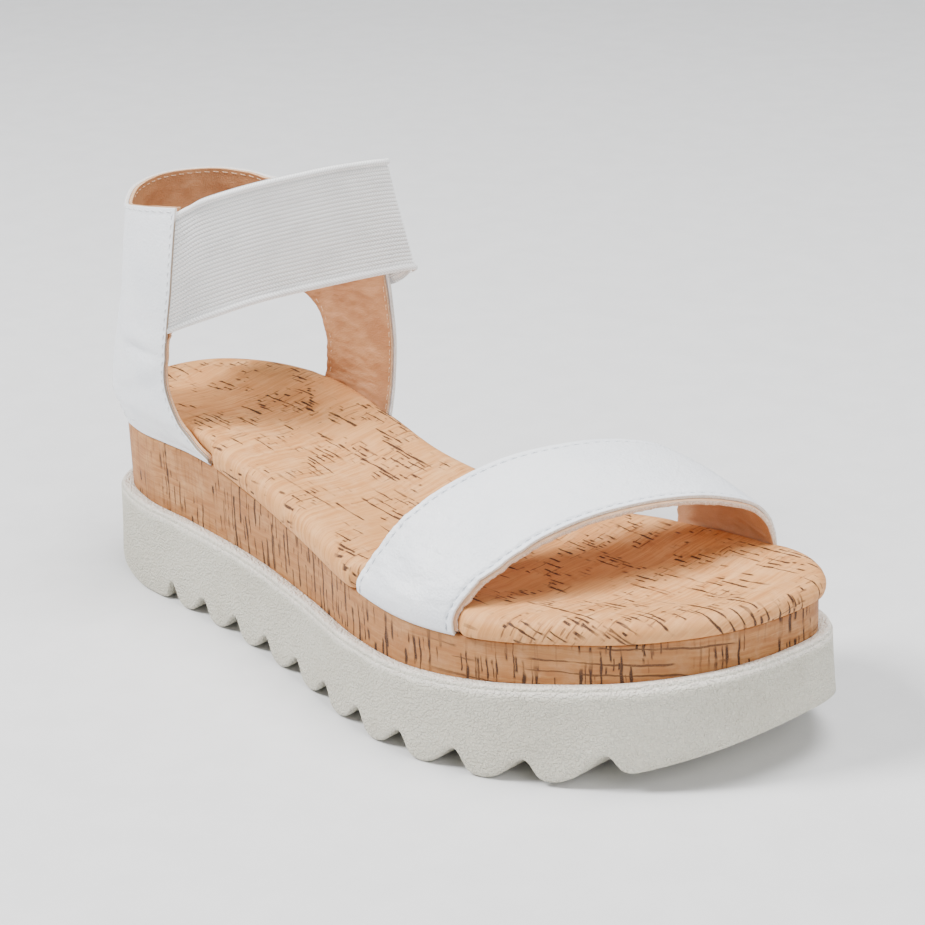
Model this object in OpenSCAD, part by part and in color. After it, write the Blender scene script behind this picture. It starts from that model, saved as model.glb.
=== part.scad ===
// Platform wedge sandal, right foot, with a toe strap and an elastic ankle collar.
// +X points to the toe, +Y to the inner (medial) side, +Z up. The origin is on the ground,
// under the centre of the sole. Millimetres.

/* [Sole unit] */
// Length of the sole, heel to toe
sole_l = 265; // [250:1:280]
// Depth of the saw-tooth tread
tread_d = 7; // [4:0.5:9]
// Distance between the two hindmost valleys of the tread
tread_pitch = 17.7; // [17:0.1:18.2]
// Width of the ledge round the cork wall
ledge_w = 4.2; // [3.6:0.1:6]
// Thickness of the cork sheet
cork_t = 1; // [0.6:0.1:1.4]
// Thickness of the insole board
board_t = 2; // [1:0.5:2.5]
// Depth of the dish in the footbed
dish_d = 1.8; // [0.5:0.1:2]

/* [Straps] */
// Thickness of the white outer leather
leather_t = 1.1; // [0.8:0.1:1.3]
// Thickness of the tan lining
lining_t = 0.9; // [0.6:0.1:1]
// Thickness of the tape between the two
tape_t = 0.3; // [0.2:0.1:0.4]
// Thickness of the elastic band
elastic_t = 1.6; // [1:0.1:2]
// Radius of the sewing thread
thread_r = 0.3; // [0.2:0.05:0.4]
// Length of one stitch
stitch_l = 3; // [2:0.5:4]

/* [Hidden] */

scale_l = sole_l / 265;
glue = 0.08;          // gap that a glue line takes
cork_inset = ledge_w + cork_t;
bulge_inset = ledge_w - 2;           // widest line of the footbed, which overhangs the wall
strap_t = leather_t + tape_t + lining_t + 2 * glue;
slot_d = strap_t + 2 * glue;         // depth of the slots that the strap ends lie in
cork_slot_d = slot_d / 2;            // and of the same slots in the cork wall
board_gap = 0.8;                     // from the board's edge to the cork wall
foam_gap = 0.6;                      // from the board up to the foam
cover_gap = 0.4;                     // from the lasting line up to the cork cover

// ---- Curves -------------------------------------------------------------------------

function along(a, b, t) = a + (b - a) * t;

function catmull(a, b, c, d, t) =
    0.5 * (2 * b + (c - a) * t + (2 * a - 5 * b + 4 * c - d) * t * t
    + (3 * b - a - 3 * c + d) * t * t * t);

// A closed smooth curve through the points, with n steps between two of them.
function closed_curve(p, n) = let (m = len(p)) [
    for (i = [0:m - 1], k = [0:n - 1])
        catmull(p[(i + m - 1) % m], p[i], p[(i + 1) % m], p[(i + 2) % m], k / n)];

// The point at t, from 0 to 1, of an open smooth curve through the points.
function open_at(p, t) = let (m = len(p) - 1, u = min(max(t, 0), 0.99999) * m, i = floor(u))
    catmull(p[max(i - 1, 0)], p[i], p[i + 1], p[min(i + 2, m)], u - i);

function open_curve(p, n) = [for (k = [0:n]) open_at(p, k / n)];

// ---- The sole's outline and heights -------------------------------------------------

outline_points = scale_l * [
    [-132.5, 1.5], [-125, -20], [-105, -29.4], [-78, -31.4], [-45, -34.6], [-12, -40.6],
    [17, -48.1], [44, -51], [70, -45.8], [92, -35], [110, -22.5], [125, -5.2],
    [132, 13.5], [131.5, 34], [114, 48.7], [88, 50.9], [62, 47.6], [37, 38.8],
    [9, 32.1], [-18, 30.2], [-48, 34.3], [-78, 37.8], [-106, 34.1], [-125.5, 22]];
outline = closed_curve(outline_points, 4);
outline_n = len(outline);

function unit(v) = v / norm(v);
function outline_normal(i) = let (d = unit(outline[(i + 1) % outline_n]
    - outline[(i + outline_n - 1) % outline_n])) [d[1], -d[0]];
function inset_outline(d) = [for (i = [0:outline_n - 1]) outline[i] - d * outline_normal(i)];

// Height of the sole unit's rim, of the lasting line where the footbed starts, and the
// thickness of the footbed's edge, along the length.
rim_table = open_curve(scale_l * [[-150, 31], [-130, 30.2], [-90, 29.8], [-45, 28.8], [-10, 27],
    [25, 26.2], [60, 27.6], [100, 31.5], [132, 36.5], [150, 39.5]], 90);
last_table = open_curve(scale_l * [[-150, 52], [-130, 52.2], [-90, 53.6], [-66, 53.1],
    [-45, 50.3], [-10, 44.9], [25, 41.4], [60, 40.6], [100, 43], [132, 46.5], [150, 48.5]], 90);
edge_table = open_curve(scale_l * [[-150, 10], [-130, 9.8], [-90, 8.8], [-45, 8.2], [-10, 8],
    [25, 7.6], [60, 7.2], [100, 6.8], [132, 6.2], [150, 6]], 90);
function rim_z(x) = lookup(x, rim_table);
function last_z(x) = lookup(x, last_table);
function edge_t(x) = lookup(x, edge_table);

// A side of the outline as a table of y against x: -1 is the outer side, 1 the inner one.
toe_i = 12 * 4;
outer_side = [for (i = [0:toe_i]) outline[i]];
inner_side = [for (i = [outline_n - 1:-1:toe_i + 6]) outline[i]];
function side_y(side, x) = lookup(x, side < 0 ? outer_side : inner_side);
// The point on that side at x, moved in by d.
function side_point(side, x, d) = let (slope = (side_y(side, x + 1) - side_y(side, x - 1)) / 2,
    n = unit([-side * slope, side])) [x, side_y(side, x)] - d * n;

function from_table(table, lift) = [for (p = table) [p[0], p[1] + lift]];
function reversed(list) = [for (i = [len(list) - 1:-1:0]) list[i]];

// A body between two height profiles, which run along X, clipped to an outline.
module between_heights(low, high, shape) {
    intersection() {
        rotate([90, 0, 0])
            linear_extrude(height = 160, center = true)
                polygon(concat(low, reversed(high)));
        linear_extrude(height = 200)
            polygon(shape);
    }
}

// ---- The sole unit ------------------------------------------------------------------

teeth = 11;
first_valley = -86 * scale_l;
pitch_growth = 0.13;                 // the teeth grow a little longer towards the toe
toe_spring_x = 72 * scale_l;
toe_spring_r = 116 * scale_l;
heel_bevel_x = -104 * scale_l;
heel_bevel_r = 45 * scale_l;

// Height of the ground side without its teeth: it curls up at the toe and at the heel.
function ground_z(x) = x > toe_spring_x ? pow(x - toe_spring_x, 2) / (2 * toe_spring_r)
    : x < heel_bevel_x ? pow(heel_bevel_x - x, 2) / (2 * heel_bevel_r) : 0;

function valley_x(k) = first_valley + k * tread_pitch + k * (k - 1) * pitch_growth;

// One tooth: share of the pitch against share of the depth, steep at its heel side.
tooth = [[0, 1], [0.05, 0.93], [0.1, 0.76], [0.15, 0.48], [0.2, 0.22], [0.26, 0.08], [0.36, 0],
    [0.46, 0], [0.55, 0.08], [0.65, 0.23], [0.75, 0.46], [0.85, 0.75], [0.95, 0.96]];
heel_ground = [for (x = [-150:4:-92]) [x * scale_l, ground_z(x * scale_l)]];
heel_edge = [for (p = [[-3.4, 0.08], [-2.3, 0.35], [-1.2, 0.75]]) [first_valley + p[0], p[1] * tread_d]];
tread = [for (k = [0:teeth - 2], p = tooth) let (x = along(valley_x(k), valley_x(k + 1), p[0]))
    [x, ground_z(x) + p[1] * tread_d]];
toe_valley = valley_x(teeth - 1);
toe_block = [for (k = [0:5]) let (x = toe_valley + tooth[k][0] * tread_pitch)
    [x, ground_z(x) + tooth[k][1] * tread_d]];
toe_ground = [for (x = toe_valley + 8, i = [0:8]) [x + i * 6, ground_z(x + i * 6)]];

module outsole() {
    color("ivory")
        between_heights(concat(heel_ground, heel_edge, tread, toe_block, toe_ground),
            rim_table, outline);
}

// The slot, open at the wall, that a strap's turned-in end lies in.
vamp_outer_x = scale_l * [21.5, 61.5];
vamp_inner_x = scale_l * [66, 101];
leg_outer_x = scale_l * [-115, -65.5];
leg_inner_x = scale_l * [-82, -46.5];
tab_l = 13;

function slot_shape(side, xs, spare, wide, depth) = let (n = 12, step = (xs[1] - xs[0] + 2 * spare) / n)
    concat([for (i = [0:n]) side_point(side, xs[0] - spare + i * step, -wide)],
    [for (i = [n:-1:0]) side_point(side, xs[0] - spare + i * step, depth)]);

module strap_slots(deep) {
    for (s = [[-1, vamp_outer_x], [1, vamp_inner_x], [-1, leg_outer_x], [1, leg_inner_x]])
        between_heights(from_table(last_table, -deep), from_table(last_table, 8),
            slot_shape(s[0], s[1], 0.4, 4, tab_l + 2));
}

module midsole_core() {
    color("wheat")
        difference() {
            between_heights(rim_table, last_table, inset_outline(cork_inset));
            strap_slots(slot_d);
        }
}

module midsole_cork_band() {
    color("peru")
        difference() {
            between_heights(rim_table, last_table, inset_outline(ledge_w));
            linear_extrude(height = 200)
                polygon(inset_outline(cork_inset));
            strap_slots(cork_slot_d);
        }
}

// ---- The footbed --------------------------------------------------------------------

spine_x = 104 * scale_l;
// The middle of the sole level with outline point i, where the footbed's rings close in.
function spine(i) = let (x = min(max(outline[i][0], -spine_x), spine_x))
    [x, (side_y(-1, x) + side_y(1, x)) / 2];

// Rings of the footbed's skin, from the lasting line up the side and over the top: how far
// in from its widest line, share of the edge's thickness, how far closed in towards the
// spine, and share of the dish.
rings = [[2, 0, 0, 0], [0.2, 0.16, 0, 0], [0, 0.42, 0, 0], [0.7, 0.72, 0, 0],
    [2.4, 0.94, 0, 0], [5, 1, 0, 0], [5, 1, 0.3, 0.45], [5, 1, 0.6, 0.9], [5, 1, 0.9, 1]];
ring_step = 2;
ring_n = outline_n / ring_step;

// The skin's points, moved in and down by the thickness t; base lifts the lowest ring.
function skin(t, base) = [for (r = rings, i = [0:ring_step:outline_n - 1])
    let (p = along(outline[i] - (bulge_inset + r[0] + t) * outline_normal(i), spine(i), r[2]))
    [p[0], p[1], last_z(p[0]) + max(base, r[1] * edge_t(p[0]) - r[3] * dish_d - (r[1] > 0.9 ? t : 0))]];

// Triangles between the rings, with the first one starting at point `first`.
function skin_sides(first) = [for (r = [0:len(rings) - 2], i = [0:ring_n - 1])
    let (a = first + r * ring_n + i, b = first + r * ring_n + (i + 1) % ring_n)
    each [[a, a + ring_n, b], [b, a + ring_n, b + ring_n]]];
// Triangles that close a ring, as a strip from the heel to the toe.
function skin_cap(first) = [for (i = [0:ring_n / 2 - 1])
    let (a = first + i, b = a + 1, c = first + ring_n - 1 - i, d = first + (ring_n - i) % ring_n)
    each (i == 0 ? [[a, c, b]] : i == ring_n / 2 - 1 ? [[a, d, b]] : [[a, d, b], [b, d, c]])];
function flipped(faces) = [for (f = faces) [f[0], f[2], f[1]]];

top_ring = (len(rings) - 1) * ring_n;
skin_points = len(rings) * ring_n;

module skin_body(t, base) {
    polyhedron(skin(t, base), concat(skin_sides(0), skin_cap(top_ring), flipped(skin_cap(0))),
        convexity = 6);
}

module skin_sheet(t) {
    polyhedron(concat(skin(0, cover_gap), skin(t, cover_gap)),
        concat(skin_sides(0), skin_cap(top_ring), flipped(skin_sides(skin_points)),
            flipped(skin_cap(skin_points + top_ring)),
            [for (i = [0:ring_n - 1]) let (j = (i + 1) % ring_n)
                each [[i, j, skin_points + i], [j, skin_points + j, skin_points + i]]]),
        convexity = 8);
}

// Where the straps press into the footbed's edge.
module strap_notches() {
    for (s = [[-1, vamp_outer_x, 11], [1, vamp_inner_x, 9.5], [-1, leg_outer_x - [8, 0], 9.5],
            [1, leg_inner_x, 9.5]])
        linear_extrude(height = 200)
            polygon(slot_shape(s[0], s[1], 1.5, 4, s[2]));
}

module insole_board() {
    color("burlywood")
        difference() {
            between_heights(from_table(last_table, glue), from_table(last_table, board_t),
                inset_outline(cork_inset + board_gap));
            strap_notches();
        }
}

module footbed_foam() {
    color("linen")
        difference() {
            skin_body(cork_t + glue, board_t + foam_gap);
            strap_notches();
        }
}

module footbed_cork_cover() {
    color("burlywood")
        difference() {
            skin_sheet(cork_t);
            strap_notches();
        }
}

// ---- Sheets that follow a grid ------------------------------------------------------

// A sheet between two equal grids of points (rows of columns); keep(i, j) says which cells
// exist. Walls close it wherever a cell has no neighbour. The second grid lies on the side
// that the surface's normal points to.
module sheet(outer, inner, keep = function (i, j) true) {
    rows = len(outer);
    cols = len(outer[0]);
    off = rows * cols;
    has = function (i, j) i >= 0 && j >= 0 && i < rows - 1 && j < cols - 1 && keep(i, j);
    at = function (i, j) i * cols + j;
    wall = function (a, b) [[a, b, b + off], [a, b + off, a + off]];
    polyhedron(concat([for (r = outer) each r], [for (r = inner) each r]),
        [for (i = [0:rows - 2], j = [0:cols - 2]) if (has(i, j))
            let (a = at(i, j), b = at(i, j + 1), c = at(i + 1, j + 1), d = at(i + 1, j)) each concat(
                [[a, b, c], [a, c, d], [a + off, c + off, b + off], [a + off, d + off, c + off]],
                has(i - 1, j) ? [] : wall(b, a), has(i + 1, j) ? [] : wall(d, c),
                has(i, j - 1) ? [] : wall(a, d), has(i, j + 1) ? [] : wall(c, b))],
        convexity = 8);
}

// Unit normal of a surface s(u, v); it points into the shoe on the toe strap and the
// elastic, and out of it on the collar.
function normal(s, u, v) = let (e = 0.02) unit(cross(s(u + e, v) - s(u - e, v), s(u, v + e) - s(u, v - e)));
function offset_point(s, u, v, d) = s(u, v) + d * normal(s, u, v);

// Stitches along a path of [u, v] pairs on the surface s, resting on its outer side: out is
// 1 where the normal points out of the shoe, -1 where it points in.
module stitches(s, path, out) {
    at = function (p) offset_point(s, p[0], p[1], out * (thread_r + glue));
    points = [for (p = path) at(p)];
    total = [for (i = 0, t = 0; i < len(points); t = t + (i < len(points) - 1
        ? norm(points[i + 1] - points[i]) : 0), i = i + 1) t];
    run = [for (i = [0:len(points) - 1]) [total[i], i]];
    whole = total[len(points) - 1];
    pitch = stitch_l + 1;
    count = floor((whole - stitch_l) / pitch);
    start = (whole - count * pitch - stitch_l) / 2;
    param = function (d) let (k = lookup(d, run), i = min(floor(k), len(path) - 2))
        along(path[i], path[i + 1], k - i);
    for (k = [0:count]) {
        pa = param(start + k * pitch);
        pb = param(start + k * pitch + stitch_l);
        a = at(pa);
        b = at(pb);
        n = normal(s, pa[0], pa[1]);
        side = unit(cross(b - a, n)) * thread_r;
        up = n * thread_r;
        polyhedron([a - side, a + up, a + side, a - up, b - side, b + up, b + side, b - up],
            [[0, 1, 2], [0, 2, 3], [4, 6, 5], [4, 7, 6], [0, 4, 5], [0, 5, 1], [1, 5, 6],
            [1, 6, 2], [2, 6, 7], [2, 7, 3], [3, 7, 4], [3, 4, 0]]);
    }
}

// ---- Toe strap ----------------------------------------------------------------------

// Rear and front edge of the strap: distance across and height, in matching steps.
vamp_rear = [[0, 43], [0.2, 46], [3, 50.3], [6.7, 54.8], [13, 61.8], [25, 69.5], [38, 74.6],
    [50, 77.3], [62, 78.2], [75, 77.6], [87, 75.4], [94.5, 72.6], [99.6, 67], [101.3, 59],
    [101.5, 50], [101.5, 42.1]];
vamp_front = [[0, 42], [0, 45.4], [1.8, 49.3], [5.4, 53.1], [10.4, 56.8], [25.6, 64.5], [38, 68.3],
    [50, 70], [62, 70.4], [75, 69.4], [87, 66.4], [94, 63.3], [98.4, 58.8], [100.4, 53.6],
    [101, 49], [101, 44.5]];
vamp_span = 101.4;
// The turned-in end, from its edge to the bend: how far in from the strap's face, share of
// the slot's depth, and slope of its inner side.
turn_in = [[tab_l - 4, 1, 90], [5, 1, 76], [1.6, 0.3, 54], [0.4, -0.16, 34]];
foot_inset = ledge_w - 1.2;          // the straps stand out from the cork wall
foot_lift = 1.4;                     // the bend starts this far above the lasting line

// A point of a turned-in end: k counts from its edge to the bend.
function tab_point(side, x, k) = let (t = turn_in[k], p = side_point(side, x, foot_inset + t[0]))
    [p[0], p[1], last_z(p[0]) - t[1] * (slot_d - glue)];
tab_n = len(turn_in);
arch_n = 26;
function lift(side, x) = let (p = side_point(side, x, foot_inset)) [p[0], p[1], last_z(p[0]) + foot_lift];

// Outer surface of the strap: u counts steps from the outer edge of one end to the other,
// v goes from the rear edge (0) to the front edge (1).
vamp_steps = 2 * tab_n + arch_n;
vamp_at = function (u, v) let (
    xa = along(vamp_outer_x[0], vamp_outer_x[1], v), xb = along(vamp_inner_x[0], vamp_inner_x[1], v),
    arch = function (t) let (a = lift(-1, xa), b = lift(1, xb),
        at = function (t) scale_l * along(open_at(vamp_rear, t), open_at(vamp_front, t), v),
        s = at(t), w = s[0] / scale_l / vamp_span, h = along(a[2] - at(0)[1], b[2] - at(1)[1], t))
        [along(a[0], b[0], w), along(a[1], b[1], w), s[1] + h],
    point = function (k) k < tab_n ? tab_point(-1, xa, k)
        : k > tab_n + arch_n ? tab_point(1, xb, vamp_steps - k) : arch((k - tab_n) / arch_n),
    i = min(max(floor(u), 0), vamp_steps - 1))
    along(point(i), point(i + 1), u - i);

vamp_cols = 5;
function vamp_grid(d) = [for (u = [0:vamp_steps]) [for (c = [0:vamp_cols])
    offset_point(vamp_at, u, c / vamp_cols, d)]];
module vamp_layer(from, thick) {
    sheet(vamp_grid(from), vamp_grid(from + thick));
}
module vamp_stitches(v) {
    stitches(vamp_at, [for (u = [tab_n + 2:0.5:tab_n + arch_n - 2]) [u, v]], -1);
}

module vamp_outer() { color("white") vamp_layer(0, leather_t); }
module vamp_tape() { color("gainsboro") vamp_layer(leather_t + glue, tape_t); }
module vamp_lining() { color("tan") vamp_layer(strap_t - lining_t, lining_t); }
module vamp_rear_stitching() { color("whitesmoke") vamp_stitches(0.055); }
module vamp_front_stitching() { color("whitesmoke") vamp_stitches(0.94); }

// ---- Ankle collar and its two legs --------------------------------------------------

// Control points of the outer surface. A column starts at the top edge; the columns run
// from the front edge on the outer side, round the back, to the front edge on the inner side.
collar_net = [
    [[-75.5, -26.5, 134], [-75.4, -30.6, 113], [-78.4, -32, 93], [-80.6, -32.6, 77], [-76.2, -32.6, 66]],
    [[-82, -28.4, 133.4], [-82.5, -31.7, 112.5], [-85, -32.8, 92.7], [-86, -33.2, 77], [-84, -32.9, 66]],
    [[-91, -29.2, 132.4], [-92.5, -31.8, 112], [-94.5, -32.3, 91], [-95.5, -32.4, 76.5], [-95.5, -31.8, 66]],
    [[-101, -26.5, 131.2], [-102.6, -28.4, 111], [-105.5, -29.2, 89.7], [-107.5, -29.3, 76],
        [-107.5, -29.4, 66]],
    [[-111.8, -13.8, 131.2], [-113, -16.2, 110], [-116, -20, 88.5], [-118.4, -21.5, 78], [-118, -23.6, 66.5]],
    [[-116.5, 1.5, 130.8], [-117, 1.5, 109], [-117.5, 1.5, 88.5], [-119, 0, 76], [-121, 0, 66]],
    [[-112.8, 18, 129.3], [-113, 19, 109], [-112.5, 20, 89], [-112, 22, 76], [-112, 25, 66]],
    [[-103.5, 26.3, 128], [-103, 29.5, 109], [-101, 31.8, 90], [-96, 34, 78], [-96, 34.5, 66]],
    [[-92, 28.8, 127.6], [-89, 33, 110.5], [-84.5, 35, 91.5], [-79, 35.6, 78], [-78.5, 35.4, 67]],
    [[-74, 31.6, 131.8], [-71.3, 34.8, 113.5], [-68, 37, 96], [-64, 37.2, 79], [-63.5, 36.4, 67]],
    [[-55, 33.3, 138.6], [-53, 36.3, 117], [-50.5, 37.9, 99], [-48.8, 37.8, 82], [-49, 36.8, 67]]];
// Where each column meets the lasting line, along X, and on which side of the sole.
collar_foot = [[-66, -1], [-78, -1], [-91, -1], [-103.5, -1], [-114.5, -1], [-121, -1], [-107, 1],
    [-96, 1], [-82, 1], [-65, 1], [-46.5, 1]];
collar_n = len(collar_net) - 1;
outer_leg_end = 4;   // column where the outer leg ends
inner_leg_start = 8; // column where the inner leg starts
band_rows = 2;       // rows of the net that the band round the ankle takes

function net_row(c) = concat(collar_net[c], [lift(collar_foot[c][1], collar_foot[c][0])]);
net_columns = [for (c = [0:collar_n]) net_row(c)];

// Outer surface: u from 0 to collar_n round the ankle, v from 0 at the top edge to 5 at the
// lasting line.
collar_at = function (u, v) open_at([for (c = net_columns) open_at(c, v / 5)], u / collar_n);

u_step = 0.25;
v_step = 0.25;
leg_top = 4 - 0.02;  // the legs bend here, just above the footbed
function grid_at(s, us, vs, d) = [for (v = vs) [for (u = us) offset_point(s, u, v, d)]];
// The collar's surface, moved in by d.
function collar_in(us, vs, d) = grid_at(collar_at, us, vs, -d);
collar_us = [for (u = [0:u_step:collar_n]) u];
collar_vs = [for (v = [0:v_step:4]) min(v, leg_top)];

module collar_layer(from, thick) {
    sheet(collar_in(collar_us, collar_vs, from + thick), collar_in(collar_us, collar_vs, from),
        function (i, j) i * v_step < band_rows || j * u_step < outer_leg_end
            || j * u_step >= inner_leg_start);
}

module collar_outer() { color("white") collar_layer(0, leather_t); }
module collar_tape() { color("gainsboro") collar_layer(leather_t + glue, tape_t); }
module collar_lining() { color("tan") collar_layer(strap_t - lining_t, lining_t); }

// The end of a leg below the bend, down the footbed's edge and turned in under it.
tab_vs = [4.06, 4.35, 4.65, 4.92];
function leg_tab_grid(us, side, d) = concat(
    collar_in(us, tab_vs, d),
    [for (k = [tab_n - 1:-1:0]) [for (u = us) let (
        x = open_at([for (f = collar_foot) [f[0], 0]], u / collar_n)[0],
        p = tab_point(side, x, k), n = side_point(side, x, foot_inset + 1)
            - side_point(side, x, foot_inset), slope = turn_in[k][2])
        p + d * [n[0] * cos(slope), n[1] * cos(slope), sin(slope)]]]);
module leg_tab(us, side) {
    sheet(leg_tab_grid(us, side, strap_t), leg_tab_grid(us, side, 0));
}
module lateral_leg_tab() { color("white") leg_tab([0:u_step:outer_leg_end], -1); }
module medial_leg_tab() { color("white") leg_tab([inner_leg_start:u_step:collar_n], 1); }

module collar_top_stitching() {
    color("whitesmoke")
        stitches(collar_at, [for (u = [0.1:0.1:9.2]) [u, 0.12]], 1);
}
module collar_arch_stitching() {
    color("whitesmoke")
        stitches(collar_at, concat([for (v = [3.9:-0.1:2.2]) [outer_leg_end - 0.22, v]],
            [for (v = [1.9, 1.88]) [outer_leg_end, v]],
            [for (u = [outer_leg_end + 0.2:0.1:inner_leg_start - 0.2]) [u, 1.88]],
            [[inner_leg_start, 1.9]], [for (v = [2.2:0.1:3.9]) [inner_leg_start + 0.17, v]]), 1);
}
module lateral_edge_stitching() {
    color("whitesmoke") {
        stitches(collar_at, [for (v = [0.2:0.1:3.9]) [0.3, v]], 1);
        stitches(collar_at, [for (v = [0.2:0.1:1.9]) [0.9, v]], 1);
    }
}
module medial_edge_stitching() {
    color("whitesmoke")
        stitches(collar_at, [for (v = [2.2:0.1:3.9]) [collar_n - 0.16, v]], 1);
}

// ---- Elastic ------------------------------------------------------------------------

// Top and bottom edge (v = 0 and v = 1) of the elastic's outer surface, from its end inside
// the outer side's leather, across the front, round the fold, to its end on the inner
// side's leather. Its edges are straight where the leather bulges, so it lies a little off.
under = strap_t + 1.2;
over = elastic_t + 1;
function beside(u, low, d) = [for (v = [0.1, low]) offset_point(collar_at, u, v, d)];
free_edges = [
    [[-69.5, -18.8, 136.6], [-71.5, -22.4, 97.2]], [[-60.5, -5, 140], [-60.3, -6.5, 102]],
    [[-52.3, 13.5, 141.8], [-49.8, 15.5, 104.4]], [[-47.3, 26, 142], [-44.4, 32, 104.8]],
    [[-45.6, 31.4, 141.8], [-42.7, 39.6, 104.3]], [[-46, 34.6, 141.3], [-43.3, 42.4, 103.5]],
    [[-49, 36.8, 140.5], [-47.2, 43, 101.6]]];
elastic_edges = concat([for (u = [1.2, 0.6, 0.1]) beside(u, 1.95, -under)],
    [along(beside(0.1, 1.95, -under), free_edges[0], 0.35)], free_edges,
    [beside(9.97, 2.03, over + 0.4), beside(9.7, 2.03, over), beside(9.4, 2.03, over)]);
elastic_n = len(elastic_edges) - 1;
elastic_at = function (u, v) let (e = open_at([for (e = elastic_edges) concat(e[0], e[1])], u / elastic_n))
    along([e[0], e[1], e[2]], [e[3], e[4], e[5]], v);
elastic_us = [for (u = [0:0.25:elastic_n]) u];
elastic_vs = [for (v = [0:0.2:1]) v];

module elastic_band() {
    color("white")
        sheet(grid_at(elastic_at, elastic_us, elastic_vs, 0),
            grid_at(elastic_at, elastic_us, elastic_vs, elastic_t));
}
module elastic_stitching() {
    color("whitesmoke") {
        stitches(elastic_at, [for (v = [0.06:0.04:0.94]) [elastic_n - 0.25, v]], -1);
        stitches(elastic_at, [for (v = [0.06:0.04:0.94]) [elastic_n - 0.75, v]], -1);
    }
}

outsole();
midsole_core();
midsole_cork_band();
insole_board();
footbed_foam();
footbed_cork_cover();
vamp_outer();
vamp_tape();
vamp_lining();
vamp_rear_stitching();
vamp_front_stitching();
collar_outer();
collar_tape();
collar_lining();
collar_top_stitching();
collar_arch_stitching();
lateral_edge_stitching();
medial_edge_stitching();
elastic_band();
elastic_stitching();
lateral_leg_tab();
medial_leg_tab();
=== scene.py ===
import math

import bpy
import numpy as np
from mathutils import Matrix, Vector, noise


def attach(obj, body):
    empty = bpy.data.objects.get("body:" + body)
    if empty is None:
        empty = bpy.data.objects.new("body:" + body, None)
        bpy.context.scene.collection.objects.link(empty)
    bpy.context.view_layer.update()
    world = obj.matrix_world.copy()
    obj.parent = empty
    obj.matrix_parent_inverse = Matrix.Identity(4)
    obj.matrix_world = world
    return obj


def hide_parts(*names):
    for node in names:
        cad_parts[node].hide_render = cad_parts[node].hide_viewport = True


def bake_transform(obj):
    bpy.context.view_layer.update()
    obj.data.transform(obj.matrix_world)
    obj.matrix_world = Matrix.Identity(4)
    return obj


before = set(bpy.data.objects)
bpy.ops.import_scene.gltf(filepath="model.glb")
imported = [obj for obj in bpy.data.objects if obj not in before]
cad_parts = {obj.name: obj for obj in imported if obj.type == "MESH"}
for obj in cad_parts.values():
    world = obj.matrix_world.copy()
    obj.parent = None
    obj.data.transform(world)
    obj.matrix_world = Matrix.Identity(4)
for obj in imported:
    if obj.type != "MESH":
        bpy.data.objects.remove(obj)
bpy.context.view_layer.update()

MM = 0.001

# ---- Curves (lengths in millimetres, as in the CAD source) ----


def weights(count, t):
    """Catmull-Rom weights of `count` control points at the positions t, counted in points."""
    t = np.clip(np.atleast_1d(np.asarray(t, float)), 0, count - 1 - 1e-6)
    i = t.astype(int)
    f = t - i
    rows = np.arange(len(t))
    w = np.zeros((len(t), count))
    np.add.at(w, (rows, np.maximum(i - 1, 0)), 0.5 * (-f + 2 * f**2 - f**3))
    np.add.at(w, (rows, i), 0.5 * (2 - 5 * f**2 + 3 * f**3))
    np.add.at(w, (rows, i + 1), 0.5 * (f + 4 * f**2 - 3 * f**3))
    np.add.at(w, (rows, np.minimum(i + 2, count - 1)), 0.5 * (-f**2 + f**3))
    return w


def curve(points, t):
    """The smooth open curve through the points, at t from 0 to 1."""
    points = np.asarray(points, float)
    return weights(len(points), np.asarray(t) * (len(points) - 1)) @ points


def closed_curve(points, n):
    """The smooth closed curve through the points, with n points to each span."""
    p = np.asarray(points, float)
    padded = np.concatenate([p[-2:], p, p[:3]])
    return weights(len(padded), 2 + np.arange(len(p) * n) / n) @ padded


def unit(vectors):
    return vectors / np.linalg.norm(vectors, axis=-1)[..., None]


def run_length(points):
    """Length of the path through the points, from its start to each of them."""
    return np.concatenate([[0], np.cumsum(np.linalg.norm(np.diff(points, axis=0), axis=1))])


def smoothstep(a, b, x):
    """0 below a, 1 above b and smooth between."""
    t = np.clip((np.asarray(x, float) - a) / (b - a), 0, 1)
    return t * t * (3 - 2 * t)


def within(x, a, b, c, d):
    """0 outside a to d, 1 from b to c and smooth between."""
    return smoothstep(a, b, x) * (1 - smoothstep(c, d, x))


def lumps(points, size, seed=0.0, octaves=3):
    """Smooth noise, about -1 to 1, at the points; size is that of its largest lumps."""
    flat = np.asarray(points, float).reshape(-1, 3)
    out = np.empty(len(flat))
    for k, p in enumerate(flat / size + seed):
        out[k] = noise.fractal(Vector(p), 0.6, 2.1, octaves)
    return out.reshape(np.shape(points)[:-1])


# ---- The sole's outline and heights ----

# How far the cork wall and the footbed's widest line lie inside the outsole's outline.
LEDGE, BULGE = 4.2, 2.2
OUTLINE = [
    [-132.5, 1.5], [-125, -20], [-105, -29.4], [-78, -31.4], [-45, -34.6], [-12, -40.6],
    [17, -48.1], [44, -51], [70, -45.8], [92, -35], [110, -22.5], [125, -5.2],
    [132, 13.5], [131.5, 34], [114, 48.7], [88, 50.9], [62, 47.6], [37, 38.8],
    [9, 32.1], [-18, 30.2], [-48, 34.3], [-78, 37.8], [-106, 34.1], [-125.5, 22]]
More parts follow.
